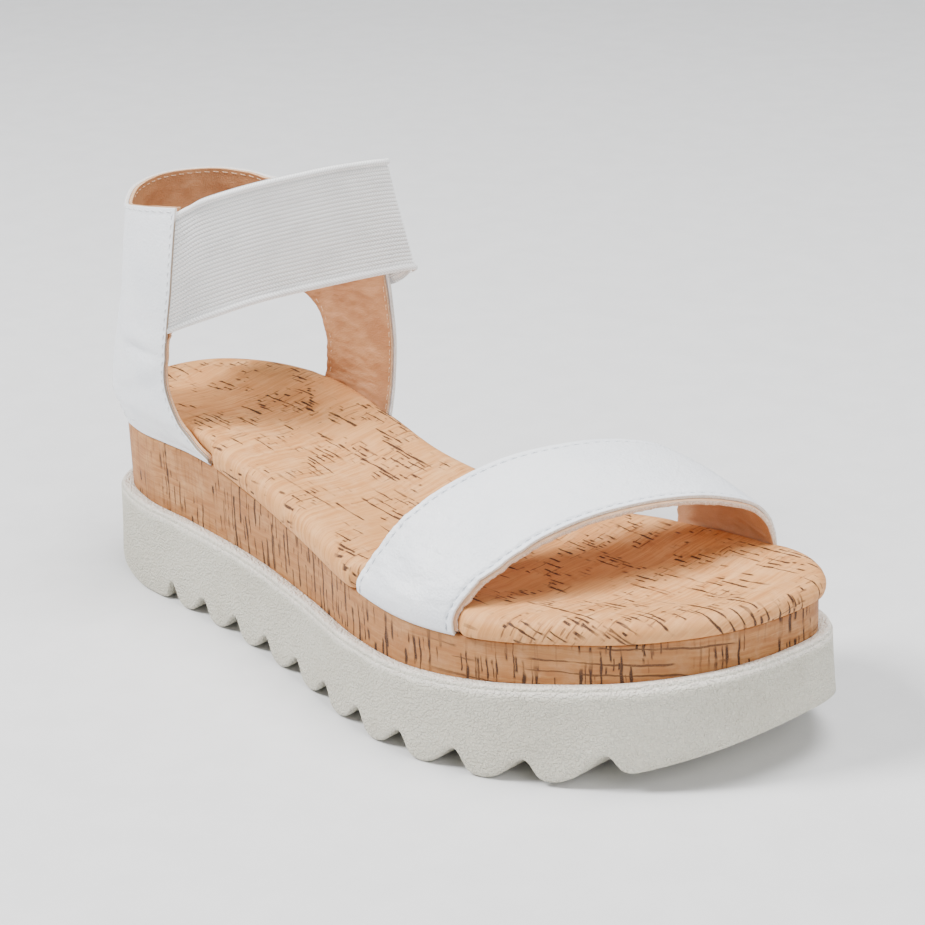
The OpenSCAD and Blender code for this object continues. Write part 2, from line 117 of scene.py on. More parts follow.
# Heights along the shoe: the outsole's rim, the top of the cork wall and, above that, the
# thickness of the footbed's edge.
RIM = [[-150, 31], [-130, 30.2], [-90, 29.8], [-45, 28.8], [-10, 27], [25, 26.2], [60, 27.6],
       [100, 31.5], [132, 36.5], [150, 39.5]]
LAST = [[-150, 52], [-130, 52.2], [-90, 53.6], [-66, 53.1], [-45, 50.3], [-10, 44.9], [25, 41.4],
        [60, 40.6], [100, 43], [132, 46.5], [150, 48.5]]
EDGE = [[-150, 10], [-130, 9.8], [-90, 8.8], [-45, 8.2], [-10, 8], [25, 7.6], [60, 7.2],
        [100, 6.8], [132, 6.2], [150, 6]]


def height_along(points, steps=400):
    """The function of x that follows the smooth curve through the points."""
    line = curve(points, np.linspace(0, 1, steps))
    return lambda x: np.interp(x, line[:, 0], line[:, 1])


rim_z, last_z, edge_t = height_along(RIM), height_along(LAST), height_along(EDGE)
SPAN_POINTS, STATION_STEP, END_STATIONS = 60, 0.45, 9
outline = closed_curve(OUTLINE, SPAN_POINTS)
tangent = np.roll(outline, -1, 0) - np.roll(outline, 1, 0)
outward = unit(np.stack([tangent[:, 1], -tangent[:, 0]], 1))
to_heel = -int(np.argmin(outline[:, 0]))
outline, outward = np.roll(outline, to_heel, 0), np.roll(outward, to_heel, 0)
toe = int(np.argmax(outline[:, 0]))
loop, loop_n = (np.concatenate([a, a[:1]]) for a in (outline, outward))
# The outline from heel to toe and its outward normals: -1 outer side, 1 inner side.
SIDES = {-1: (loop[:toe + 1], loop_n[:toe + 1]), 1: (loop[:toe - 1:-1], loop_n[:toe - 1:-1])}


def side_at(side, x):
    """Points of the outline and its outward normals on one side at x."""
    p, n = SIDES[side]
    x = np.atleast_1d(np.asarray(x, float))
    at = lambda table, k: np.interp(x, p[:, 0], table[:, k])
    return np.stack([x, at(p, 1)], 1), unit(np.stack([at(n, 0), at(n, 1)], 1))


def side_point(side, x, inset):
    p, n = side_at(side, x)
    return (p - n * inset)[0]


# Sections across the sole, closer together where the heel and the toe round off.
near = (np.arange(1, END_STATIONS + 1) * 1.2) ** 2 / 60
heel_x, toe_x = outline[0, 0], outline[toe, 0]
middle = np.arange(heel_x + near[-1] + STATION_STEP, toe_x - near[-1] - 0.2, STATION_STEP)
stations = np.concatenate([[heel_x], heel_x + near, middle, toe_x - near[::-1], [toe_x]])
K = len(stations)
both_sides = zip(side_at(-1, stations), side_at(1, stations))
ring_p, ring_n = (np.concatenate([outer, inner[-2:0:-1]]) for outer, inner in both_sides)
ring_side = np.concatenate([-np.ones(K), np.ones(K - 2)])
N = len(ring_p)
ring_flat = np.concatenate([ring_p, np.zeros((N, 1))], 1)

# ---- Meshes ----


def link(name, data):
    obj = bpy.data.objects.new(name, data)
    bpy.context.scene.collection.objects.link(obj)
    return obj


def make(name, verts, faces, mats, uv=None, slots=None):
    """A mesh object from points in millimetres; uv is per point, slots per face."""
    me = bpy.data.meshes.new(name)
    me.from_pydata((np.asarray(verts) * MM).tolist(), [], faces)
    me.update()
    for m in mats:
        me.materials.append(m)
    if slots is not None:
        me.polygons.foreach_set("material_index", np.asarray(slots, np.int32))
    me.polygons.foreach_set("use_smooth", np.ones(len(me.polygons), bool))
    if uv is not None:
        index = np.empty(len(me.loops), np.int32)
        me.loops.foreach_get("vertex_index", index)
        me.uv_layers.new(name="flat").data.foreach_set("uv", (np.asarray(uv) * MM)[index].ravel())
    return link(name, me)


def ring(inset, z):
    """Points round the sole, inset from its outline, at the heights z(x)."""
    p = ring_p - ring_n * np.reshape(inset, (-1, 1))
    return np.concatenate([p, np.reshape(z(p[:, 0]), (-1, 1))], 1)


def ring_faces(a, b):
    """Faces between two rings whose points begin at a and at b."""
    i = np.arange(N)
    j = (i + 1) % N
    return np.stack([a + i, a + j, b + j, b + i], 1)


def cap(verts, faces, start, loop, cols, height, up):
    """Closes a ring whose points begin at `start`, with `cols` strips from side to side."""
    base = sum(len(v) for v in verts)
    k = np.arange(1, K - 1)
    a, b = loop[k], loop[N - k]
    shares = np.arange(1, cols)[None, :, None] / cols
    pts = a[:, None, :] * (1 - shares) + b[:, None, :] * shares
    pts[..., 2] = height(pts, shares[..., 0])
    verts.append(pts.reshape(-1, 3))
    index = np.empty((K, cols + 1), int)
    index[1:-1, 0] = start + k
    index[1:-1, cols] = start + N - k
    index[1:-1, 1:cols] = base + np.arange((K - 2) * (cols - 1)).reshape(K - 2, cols - 1)
    index[0], index[-1] = start, start + K - 1
    quads = np.stack([index[:-1, :-1], index[1:, :-1], index[1:, 1:], index[:-1, 1:]], -1)
    if not up:
        quads = quads[..., ::-1]
    out = quads[1:-1].reshape(-1, 4).tolist()
    for end in (quads[0], quads[-1]):
        for q in end.tolist():
            out.append([v for n, v in enumerate(q) if v not in q[:n]])
    faces.extend(out)


def shell(rings, cols, low_height, top_height):
    """A closed body from rings listed from the bottom to the top, with both ends capped."""
    verts, faces = list(rings), []
    for r in range(len(rings) - 1):
        faces.extend(ring_faces(r * N, (r + 1) * N).tolist())
    cap(verts, faces, 0, rings[0], cols, low_height, False)
    cap(verts, faces, (len(rings) - 1) * N, rings[-1], cols, top_height, True)
    return np.concatenate(verts), faces


def surface_normals(grid):
    """Unit normals of a grid of points, by central differences."""
    return unit(np.cross(np.gradient(grid, axis=1), np.gradient(grid, axis=0)))


def towards(normals, points, inside):
    """The normals, turned so that they point on the whole to the place `inside`."""
    return normals * np.sign(np.mean(np.sum(normals * (np.array(inside) - points), -1)))


def thick(name, grid, inward, thickness, mats, lift=0.0, keep=None, uv=None, edge=0.18):
    """A sheet of leather or cloth: grid is its outer surface before `lift` (outward, per
    point); keep says which cells exist. Its cut edge takes the second material."""
    rows, cols = grid.shape[:2]
    cells = np.ones((rows - 1, cols - 1), bool) if keep is None else keep
    has = np.pad(cells, 1).astype(int)
    near_cells = has[:-1, :-1] + has[1:, :-1] + has[:-1, 1:] + has[1:, 1:]
    rim = (near_cells > 0) & (near_cells < 4)
    drop = np.where(rim, edge, 0.0) - lift
    outer = grid + inward * drop[..., None]
    inner = grid + inward * (np.where(rim, thickness - 0.6 * edge, thickness) - lift)[..., None]
    off = rows * cols
    index = np.arange(off).reshape(rows, cols)
    i, j = np.nonzero(cells)
    a, b, c, d = index[i, j], index[i, j + 1], index[i + 1, j + 1], index[i + 1, j]
    faces = [np.stack([a, b, c, d], 1), np.stack([d, c, b, a], 1) + off]
    for di, dj, e, f in ((-1, 0, a, b), (1, 0, c, d), (0, -1, d, a), (0, 1, b, c)):
        open_side = has[i + 1 + di, j + 1 + dj] == 0
        e, f = e[open_side], f[open_side]
        faces.append(np.stack([f, e, e + off, f + off], 1))
    slots = np.concatenate([np.full(len(f), 1 if k >= 2 else 0) for k, f in enumerate(faces)])
    faces = np.concatenate(faces)
    verts = np.concatenate([outer.reshape(-1, 3), inner.reshape(-1, 3)])
    kept = np.unique(faces)
    renumber = np.zeros(len(verts), int)
    renumber[kept] = np.arange(len(kept))
    if uv is not None:
        uv = np.concatenate([uv.reshape(-1, 2)] * 2)[kept]
    return make(name, verts[kept], renumber[faces].tolist(), mats, uv, slots)


def frayed(grid, amount):
    """The sheet's two long edges (its first and last rows) pushed out unevenly."""
    out = grid.copy()
    for row, inner in ((0, 4), (-1, -5)):
        push = unit(grid[row] - grid[inner])
        wobble = amount * (1 + 0.45 * lumps(grid[row], 1.6, 2.0, 2) + 0.3 * lumps(grid[row], 9.0, 7.0, 2))
        for k, share in enumerate((1.0, 0.85, 0.5, 0.2)):
            out[k if row == 0 else -1 - k] += push * (wobble * share)[..., None]
    return out


def along_path(points, normals, step):
    """Points and normals every `step` along a path."""
    d = run_length(points)
    t = np.arange(0, d[-1], step)
    take = lambda v: np.stack([np.interp(t, d, v[:, k]) for k in range(3)], 1)
    return take(points), take(normals)


# Points to a millimetre of a thread's path; rings of points along a stitch and round it.
PER_MM, RINGS, ROUND = 10, 11, 7


def stitches(name, rows, mats, length=2.5, gap=0.75, radius=0.27):
    """Rows of sewn thread: each stitch comes out of the leather, lies on it and goes in.
    rows holds (points, outward normals); each row takes its own material, or the last."""
    verts, faces, uv, slots = [], [], [], []
    t = np.linspace(0, 1, RINGS)
    angle = np.arange(ROUND) * 2 * np.pi / ROUND + 2.5 * t[:, None]
    fat = radius * (1 + 0.1 * np.sin(8 * np.pi * t)) * np.where(t % 1 == 0, 0.75, 1)
    height = radius * (1.15 * np.sin(np.pi * t) ** 0.6 - 0.75)
    lean = 0.12 * (2 * t - 1)
    tube = [[k * ROUND + q, (k + 1) * ROUND + q, (k + 1) * ROUND + (q + 1) % ROUND,
             k * ROUND + (q + 1) % ROUND] for k in range(RINGS - 1) for q in range(ROUND)]
    tube += [list(range(ROUND)), [(RINGS - 1) * ROUND + q for q in reversed(range(ROUND))]]
    size, pitch = int(length * PER_MM), int((length + gap) * PER_MM)
    for row, (points, normals) in enumerate(rows):
        p, n = along_path(points, normals, 1 / PER_MM)
        for start in range(int(gap * PER_MM / 2), len(p) - size, pitch):
            picks = start + np.round(t * (size - 1)).astype(int)
            at, up = p[picks], unit(n[picks])
            side = unit(np.cross(np.gradient(at, axis=0), up))
            centre = at + up * height[:, None] + side * lean[:, None]
            spread = np.cos(angle)[..., None] * side[:, None] + np.sin(angle)[..., None] * up[:, None]
            faces += [[len(verts) + i for i in f] for f in tube]
            verts += (centre[:, None] + fat[:, None, None] * spread).reshape(-1, 3).tolist()
            uv += np.stack([t[:, None] * length + 0 * angle, angle * radius], -1).reshape(-1, 2).tolist()
        slots += [min(row, len(mats) - 1)] * (len(faces) - len(slots))
    return make(name, verts, faces, mats, uv, slots)


# ---- Materials ----


class Nodes:
    """A short way to write a node tree: numbers, colours and sockets can all be inputs."""

    def __init__(self, name):
        self.mat = bpy.data.materials.new(name)
        self.mat.use_nodes = True
        self.tree = self.mat.node_tree
        self.shader = self.tree.nodes["Principled BSDF"]

    def add(self, kind, inputs=(), out=0, **settings):
        node = self.tree.nodes.new("ShaderNode" + kind)
        for key, value in settings.items():
            setattr(node, key, value)
        for key, value in (inputs.items() if isinstance(inputs, dict) else enumerate(inputs)):
            self.put(node.inputs[key], value)
        return node.outputs[out]

    def put(self, socket, value):
        if isinstance(value, bpy.types.NodeSocket):
            self.tree.links.new(value, socket)
        elif value is not None:
            socket.default_value = value

    def math(self, op, *values):
        return self.add("Math", values, operation=op)

    def times(self, a, b):
        return self.math("MULTIPLY", a, b)

    def apart(self, vector):
        """The three components of a vector."""
        node = self.tree.nodes.new("ShaderNodeSeparateXYZ")
        self.put(node.inputs[0], vector)
        return node.outputs

    def noise(self, vector, scale=1.0, detail=2.0, rough=0.5, distortion=0.0):
        return self.add("TexNoise", {"Vector": vector, "Scale": scale, "Detail": detail,
                                     "Roughness": rough, "Distortion": distortion})

    def ramp(self, value, low, high, to_low=0.0, to_high=1.0):
        return self.add("MapRange", {"Value": value, "From Min": low, "From Max": high,
                                     "To Min": to_low, "To Max": to_high},
                        interpolation_type="SMOOTHSTEP")

    def mix(self, share, a, b):
        """Colour a, and b where share is 1; a whole number is a display colour."""
        node = self.tree.nodes.new("ShaderNodeMix")
        node.data_type = "RGBA"
        for socket, value in ((0, share), (6, a), (7, b)):
            self.put(node.inputs[socket], colour(value) if isinstance(value, int) else value)
        return node.outputs[2]

    def bumps(self, *layers):
        """Bump layers of (height, strength, distance), each on top of the one before."""
        out = None
        for height, strength, distance in layers:
            inputs = {"Height": height, "Strength": strength, "Distance": distance, "Normal": out}
            out = self.add("Bump", inputs)
        return out

    def done(self, **inputs):
        for key, value in inputs.items():
            self.put(self.shader.inputs[key.replace("_", " ")], value)
        return self.mat


def colour(code):
    """A display colour 0xRRGGBB as the linear value that a node takes."""
    parts = [(code >> shift & 255) / 255 for shift in (16, 8, 0)]
    return tuple(c / 12.92 if c <= 0.04045 else ((c + 0.055) / 1.055) ** 2.4 for c in parts) + (1.0,)


def mixed(a, b, share):
    """The linear value between two display colours."""
    return tuple(p * (1 - share) + q * share for p, q in zip(colour(a), colour(b)))


def moulded_foam():
    """Off-white foam with a pebbled skin: a painted highlight where it faces up, and painted shade in the
    hollows between the pebbles.
    """
    m = Nodes("outsole_foam")
    at = m.add("TexCoord", out="Object")
    bent = m.add("TexNoise", {"Vector": at, "Scale": 900.0, "Detail": 1.0}, out=1)
    bent = m.add("VectorMath", {0: bent, "Scale": 0.0006}, operation="SCALE")
    bent = m.add("VectorMath", (at, bent), operation="ADD")
    pebble = m.add("TexVoronoi", {"Vector": bent, "Scale": 1250.0, "Smoothness": 0.3}, feature="SMOOTH_F1")
    pebble = m.ramp(pebble, 0.15, 0.75, 1.0, 0.0)
    creases = m.noise(at, 2100.0, 2.0, 0.6, 0.3)
    height = m.math("ADD", m.times(pebble, 0.6), m.times(creases, 0.6))
    broad = m.noise(at, 35.0, 3.0, 0.6)
    tint = m.mix(m.ramp(broad, 0.35, 0.7), 0xDBD7C7, 0xD0CBBA)
    # Painted shade: the foam is darker in the low parts of its pebbled skin and creases.
    tint = m.mix(m.ramp(height, 0.35, 0.95, 0.32, 0.0), tint, 0xB6B09F)
    # Painted highlight: the foam's colour is lighter where its surface faces up, as if lit from above.
    facing_up = m.apart(m.add("NewGeometry", out="Normal"))[2]
    tint = m.mix(m.ramp(facing_up, 0.35, 0.85), tint, 0xF6EFE3)
    scuff = m.ramp(m.noise(at, 140.0, 4.0, 0.7), 0.6, 0.8, 0.0, 0.25)
    tint = m.mix(scuff, tint, 0xC6BFB2)
    bump = m.bumps((height, 1.0, 0.0008), (broad, 0.25, 0.0008))
    return m.done(Base_Color=tint, Roughness=m.ramp(creases, 0.3, 0.7, 0.5, 0.66), Normal=bump,
                  Subsurface_Weight=0.05, Subsurface_Radius=(0.003, 0.002, 0.0015), Subsurface_Scale=0.4)


def cork(name, upright, light, dark):
    """Cork sheet. The bark's dark flecks run along the flat map's U on the footbed and along
    its V on the wall, in clusters of short parallel lines; pale grain lies across them."""
    m = Nodes(name)
    flat = m.add("TexCoord", out="UV")
    warp = m.add("TexNoise", {"Vector": flat, "Scale": 90.0, "Detail": 3.0, "Roughness": 0.6}, out=1)
    warp = m.add("VectorMath", (warp, (0.5, 0.5, 0.5)), operation="SUBTRACT")
    warp = m.add("VectorMath", {0: warp, "Scale": 0.0022}, operation="SCALE")
    bent = m.add("VectorMath", (flat, warp), operation="ADD")
    u, v, _ = m.apart(bent)
    along, across = (v, u) if upright else (u, v)
    shoe_x = m.apart(m.add("TexCoord", out="Object"))[0]

    def lines(run, over, pitch, length, width, amount, seed):
        """Parallel dashes: `run` goes along them and `over` across; pitch, length and width
        are in millimetres, and fewer of them show as `amount` rises."""
        cell = m.math("DIVIDE", over, pitch * MM)
        index = m.math("FLOOR", cell)
        jitter = m.add("TexWhiteNoise", {"W": m.math("ADD", index, seed)}, noise_dimensions="1D")
        middle = m.math("ADD", 0.25, m.times(jitter, 0.5))
        offset = m.math("SUBTRACT", m.math("FRACT", cell), middle)
        distance = m.math("ABSOLUTE", m.times(offset, pitch))
        spot = m.add("CombineXYZ", (m.math("DIVIDE", run, length * MM), m.times(index, 7.31), seed))
        shown = m.ramp(m.noise(spot, 1.0, 2.0, 0.6), amount, amount + 0.035)
        fat = m.ramp(m.noise(spot, 3.3, 1.0, 0.5), 0.3, 0.7, 0.45 * width, 1.35 * width)
        edge = m.math("SUBTRACT", fat, distance)
        return m.times(shown, m.ramp(edge, -0.5 * width, 0.35 * width))

    groups = m.ramp(m.noise(flat, 55.0 if upright else 62.0, 2.0, 0.55), 0.47, 0.55)
    if upright:
        toe_end = m.ramp(shoe_x, 0.04, 0.07)
        waist = m.ramp(m.math("ABSOLUTE", m.math("ADD", shoe_x, 0.02)), 0.03, 0.05, 0.9, 0.0)
        crowd = m.math("ADD", m.times(m.math("MAXIMUM", groups, waist), 0.8), 0.2)
        long_lines = lines(along, across, 3.1, 19.0, 0.42, 0.50, 3.0)
        thin_lines = lines(along, across, 1.7, 13.0, 0.24, 0.53, 9.0)
        cross_lines = m.times(lines(across, along, 3.9, 34.0, 0.27, 0.46, 5.0), toe_end)
        marks = m.times(m.math("MAXIMUM", long_lines, thin_lines), crowd)
        marks = m.math("MAXIMUM", marks, m.times(cross_lines, 0.8))
    else:
        toe_end = m.ramp(shoe_x, 0.092, 0.108)
        sparse = m.ramp(m.noise(flat, 31.0, 1.0, 0.5), 0.45, 0.55)
        long_lines = lines(along, across, 3.4, 15.0, 0.38, 0.56, 3.0)
        short_lines = lines(along, across, 1.9, 8.0, 0.3, 0.52, 9.0)
        cross_lines = m.times(lines(across, along, 2.8, 8.0, 0.2, 0.5, 5.0), groups)
        toe_lines = m.times(lines(along, across, 4.1, 15.0, 0.3, 0.53, 12.0), toe_end)
        marks = m.times(long_lines, m.math("MAXIMUM", sparse, groups))
        for more in (m.times(short_lines, groups), m.times(cross_lines, 0.6), toe_lines):
            marks = m.math("MAXIMUM", marks, more)
    grit = m.noise(flat, 2600.0, 2.0, 0.6)
    marks = m.times(marks, m.ramp(grit, 0.3, 0.5, 0.72, 1.0))

    def stretched(footbed_scale, wall_scale, detail, rough, distortion=0.0, shift=(0, 0, 0)):
        """Noise drawn out along one axis of the flat map."""
        scale = (wall_scale if upright else footbed_scale) + (1,)
        v = m.add("Mapping", {"Vector": bent, "Scale": scale, "Location": shift})
        return m.noise(v, 1.0, detail, rough, distortion)

    grain = stretched((900, 30), (34, 700), 3.0, 0.6, 0.5, (1, 5, 0))
    fine_grain = stretched((2600, 110), (110, 2400), 2.0, 0.6, 0.0, (4, 4, 0))
    mottle = m.noise(flat, 150.0, 4.0, 0.65)
    patches = m.ramp(m.noise(flat, 24.0, 2.0, 0.5), 0.38, 0.62)
    tint = m.mix(m.ramp(grain, 0.36, 0.64), light, dark)
    tint = m.mix(m.ramp(fine_grain, 0.42, 0.72, 0.0, 0.45), tint, dark)
    tint = m.mix(m.ramp(fine_grain, 0.52, 0.78, 0.0, 0.4), tint, 0x965C30)
    tint = m.mix(m.ramp(mottle, 0.4, 0.75, 0.0, 0.4), tint, mixed(light, 0xF4CEA0, 0.55))
    tint = m.mix(m.times(patches, 0.4), tint, mixed(light, dark, 0.7))
    halo = m.times(m.ramp(stretched((130, 420), (420, 130), 2.0, 0.5, 0.3), 0.5, 0.66), groups)
    tint = m.mix(m.times(halo, 0.35), tint, 0xA86C3A)
    tint = m.mix(marks, tint, 0x422612)
    bump = m.bumps((m.math("SUBTRACT", 1.0, marks), 0.6, 0.0003), (grain, 0.4, 0.0003),
                   (mottle, 0.25, 0.0002))
    return m.done(Base_Color=tint, Roughness=m.ramp(mottle, 0.3, 0.7, 0.55, 0.72), Normal=bump,
                  Specular_IOR_Level=0.35)


def leather(name, light, dark, grain_size, grain_depth, rough):
    """Leather with pores, soft creases and a slightly uneven colour."""
    m = Nodes(name)
    at = m.add("TexCoord", out="Object")
    cells = m.add("TexVoronoi", {"Vector": at, "Scale": grain_size}, feature="F1")
    pores = m.noise(at, grain_size * 1.8, 3.0, 0.6)
    broad = m.noise(at, 60.0, 3.0, 0.55)
    tint = m.mix(m.ramp(broad, 0.35, 0.7), light, dark)
    tint = m.mix(m.ramp(pores, 0.55, 0.8, 0.0, 0.2), tint, dark)
    skin = m.math("ADD", cells, m.times(pores, 0.7))
    creases = m.add("Mapping", {"Vector": at, "Scale": (1, 0.45, 1), "Rotation": (0.2, 0.5, 0.4)})
    creases = m.math("SUBTRACT", m.noise(creases, 330.0, 4.0, 0.6, 0.9), 0.5)
    creases = m.ramp(m.math("ABSOLUTE", creases), 0.0, 0.05)
    dents = m.noise(at, 220.0, 3.0, 0.55, 0.4)
    bump = m.bumps((skin, grain_depth, 0.00022), (dents, grain_depth * 0.7, 0.0005),
                   (creases, grain_depth * 0.5, 0.0002))
    return m.done(Base_Color=tint, Roughness=m.ramp(broad, 0.3, 0.7, rough, rough + 0.1), Normal=bump,
                  Specular_IOR_Level=0.45)


def raw_edge(name, light, dark, outer=None):
    """A cut edge; `outer` is its colour on the outer side of the ankle collar."""
    m = Nodes(name)
    at = m.add("TexCoord", out="Object")
    fibre = m.noise(at, 1800.0, 4.0, 0.7, 0.8)
    tint = m.mix(m.ramp(fibre, 0.35, 0.7), light, dark)
    if outer is not None:
        x, y, z = m.apart(at)
        there = m.times(m.ramp(y, -0.018, -0.024), m.ramp(x, -0.05, -0.06))
        tint = m.mix(m.times(there, m.ramp(z, 0.131, 0.129)), tint, outer)
    return m.done(Base_Color=tint, Roughness=0.85, Normal=m.bumps((fibre, 0.7, 0.0003)))


# The elastic's thickness and height, its plain upper edge, ribs and knit.
ELASTIC_T, BAND_H, SELVAGE = 1.5, 39.5, 2.6
RIBS, RIB_PITCH, RIB_DEPTH, KNIT_PITCH = 25, 1.38, 0.42, 0.85


def ribbed_elastic():
    """Fine herringbone between the real ribs, with painted shade in the knit's hollows and in the rib
    grooves; the flat map runs along the band and down it.
    """
    m = Nodes("elastic")
    flat = m.add("TexCoord", out="UV")
    along, down, _ = m.apart(flat)
    fold = m.math("PINGPONG", down, RIB_PITCH * MM)
    slant = m.math("ADD", along, m.times(fold, 0.8))
    knit = m.math("SINE", m.times(slant, 2 * math.pi / (KNIT_PITCH * MM)))
    fluff = m.noise(flat, 2500.0, 3.0, 0.7)
    uneven = m.ramp(m.noise(flat, 90.0, 2.0, 0.5), 0.4, 0.65)
    # Painted shade: the knit is darker where its bump is low and lighter on its crowns.
    tint = m.mix(m.ramp(knit, -1.0, 1.0), 0xE2E2E1, 0xFCFCFB)
    tint = m.mix(m.ramp(fluff, 0.4, 0.8, 0.0, 0.3), tint, 0xE8E7E4)
    rib = m.times(m.math("SUBTRACT", down, SELVAGE * MM), math.pi / (RIB_PITCH * MM))
    rib = m.math("ABSOLUTE", m.math("SINE", rib))
    # Painted shade: a darker colour in the grooves between the ribs.
    tint = m.mix(m.ramp(rib, 0.1, 0.55, 0.5, 0.0), tint, 0xC8C7C4)
    bump = m.bumps((knit, m.math("ADD", 0.2, m.times(uneven, 0.35)), 0.00016), (fluff, 0.35, 0.0001))
    return m.done(Base_Color=tint, Roughness=0.8, Normal=bump, Sheen_Weight=0.15, Sheen_Roughness=0.5)


def sewing_thread(name, light, dark):
    """Twisted thread, with painted shade in the grooves between its plies; the flat map runs along it."""
    m = Nodes(name)
    flat = m.add("TexCoord", out="UV")
    twist = m.add("TexWave", {"Vector": flat, "Scale": 420.0, "Distortion": 0.4}, out=1,
                  bands_direction="DIAGONAL")
    # Painted shade: the thread is darker in the grooves of its twist and lighter on its crowns.
    tint = m.mix(twist, dark, light)
    return m.done(Base_Color=tint, Roughness=0.6, Normal=m.bumps((twist, 0.6, 0.00012)))


FOAM = moulded_foam()
CORK_TOP = cork("cork_footbed", False, 0xDDA267, 0xC4854C)
# The wall is the same cork sheet as the footbed, given darker colours: painted shade on the upright wall.
CORK_WALL_PAINTED_SHADE = cork("cork_wall", True, 0xB47E4A, 0x9B6335)
WHITE = leather("white_leather", 0xF5F7FA, 0xEDF0F5, 1200.0, 0.62, 0.32)
TAN = leather("tan_lining", 0xC08C62, 0xA8724A, 1900.0, 0.45, 0.5)
WHITE_EDGE = raw_edge("leather_edge", 0xECE7E0, 0xCEC5BA, 0x968878)
# The toe strap's lining: a paler, pinker copy of the lining leather, partly its own tone and partly painted
# light on the strap's shaded underside.
PALE_TAN_AND_PAINTED_LIGHT = leather("strap_lining", 0xDEB692, 0xCA9E7A, 1900.0, 0.45, 0.5)
FRAYED = raw_edge("frayed_edge", 0xE8D9CA, 0xBEA48C)
TAN_EDGE = raw_edge("lining_edge", 0xE0BC98, 0xBA926E)
ELASTIC = ribbed_elastic()
THREAD = sewing_thread("thread", 0xF4F4F5, 0xCCCED1)
# The toe strap's thread is the white thread in grey colours: painted shade on the strap's stitches.
STRAP_THREAD_PAINTED_SHADE = sewing_thread("strap_thread", 0xD8DCE2, 0x9EA4AC)
TAN_THREAD = sewing_thread("lining_thread", 0xE2C2A0, 0xC49E7A)

# ---- Outsole ----

TREAD_D, TEETH, LAST_TOOTH_POINTS = 7.0, 11, 8
# Ground side of the heel block, and one tooth as shares of the pitch and of the depth.
HEEL_BLOCK = [[x, 0] for x in (-150, -140, -130, -120, -112, -104, -98, -93)]
HEEL_BLOCK += [[-91.4, 0.15], [-90, 0.5], [-88.9, 1.5], [-87.8, 4.2], [-86.8, 6.3]]
TOOTH = [[0, 1], [0.05, 0.93], [0.1, 0.76], [0.15, 0.48], [0.2, 0.22], [0.26, 0.08], [0.33, 0.01],
         [0.36, 0], [0.46, 0], [0.52, 0.05], [0.62, 0.16], [0.72, 0.37], [0.8, 0.6], [0.88, 0.82],
         [0.95, 0.96]]


def valley_x(k):
    """Where valley k lies; the teeth grow towards the toe."""
    return -86 + 17.7 * k + 0.13 * k * (k - 1)


def ground_z(x):
    """The sole's lift off the floor at the toe and at the heel."""
    return np.where(x > 72, (x - 72) ** 2 / 232, np.where(x < -104, (x + 104) ** 2 / 90, 0.0))


def tread_points():
    """Points of the ground side along X, with the rounded teeth."""
    points = list(HEEL_BLOCK)
    for k in range(TEETH):
        pitch = valley_x(k + 1) - valley_x(k)
        tooth = TOOTH[:LAST_TOOTH_POINTS] if k == TEETH - 1 else TOOTH
        points += [[valley_x(k) + s * pitch, d * TREAD_D] for s, d in tooth]
    points += [[valley_x(TEETH - 1) + 12 + 6 * i, 0] for i in range(8)]
    points = np.array(points, float)
    points[:, 1] += ground_z(points[:, 0])
    return points


tread_z = height_along(tread_points(), 4000)


def build_outsole():
    """The moulding: rounded lower edge, flared wall, rounded rim and the ledge inside it."""
    flare, low_r, rim_r = 1.2, 1.3, 1.5
    rings = [ring(low_r + 2.5 - flare, tread_z), ring(low_r - flare, tread_z)]
    for a in np.radians((25, 50, 75)):
        rise = low_r * (1 - math.cos(a))
        rings.append(ring(low_r * (1 - math.sin(a)) - flare, lambda x: tread_z(x) + rise))
    for t in np.linspace(0, 1, 9):
        rings.append(ring(-flare * (1 - t) ** 1.4,
                          lambda x: (tread_z(x) + low_r) * (1 - t) + (rim_z(x) - rim_r) * t))
    rings.append(ring(0.05, lambda x: rim_z(x) - rim_r))
    for a in np.radians((20, 40, 60, 78)):
        drop = rim_r * (1 - math.sin(a)) - 0.12
        rings.append(ring(0.25 + rim_r * 0.8 * (1 - math.cos(a)), lambda x: rim_z(x) - drop))
    for inset, drop in ((2.0, -0.1), (3.0, 0.1), (LEDGE - 0.3, 0.25), (LEDGE + 0.6, 0.9)):
        rings.append(ring(inset, lambda x: rim_z(x) - drop))
    verts, faces = shell(rings, 18, lambda p, s: tread_z(p[..., 0]), lambda p, s: rim_z(p[..., 0]) - 1.2)
    return make("outsole_moulding", verts, faces, [FOAM])


# ---- Cork wall and footbed ----


def build_wall():
    """The cork sheet round the midsole, very slightly uneven as glued cork is."""
    rings, uv = [], []
    wave = 0.22 * lumps(ring_flat, 26.0, 3.1)
    levels = [(2.5, -1.4), (0.0, -1.0), (0.0, 0.0)] + [(0.0, t) for t in np.linspace(0.07, 0.93, 9)]
    levels += [(0.1, 0.96), (0.5, 0.985), (1.6, 0.985), (4.0, 0.985)]
    for inset, t in levels:
        low = t if t < 0 else 0.0
        share = max(t, 0.0)
        rings.append(ring(LEDGE + inset + wave * (1 - abs(2 * share - 1) ** 3),
                          lambda x: rim_z(x) * (1 - share) + last_z(x) * share + low))
        uv.append(np.stack([run_length(ring_p), rings[-1][:, 2]], 1))
    verts, faces = shell(rings, 6, lambda p, s: rim_z(p[..., 0]) - 1.4, lambda p, s: last_z(p[..., 0]) + 0.3)
    flat = np.zeros((len(verts), 2))
    flat[:len(uv) * N] = np.concatenate(uv)
    return make("cork_wall_sheet", verts, faces, [CORK_WALL_PAINTED_SHADE], flat)


# Where the toe strap and the collar's legs go down at the sole, on the outer and inner side.
VAMP_X = {-1: (21.5, 61.5), 1: (66.0, 101.0)}
LEG_X = {-1: (-124.0, -65.5), 1: (-82.0, -46.5)}


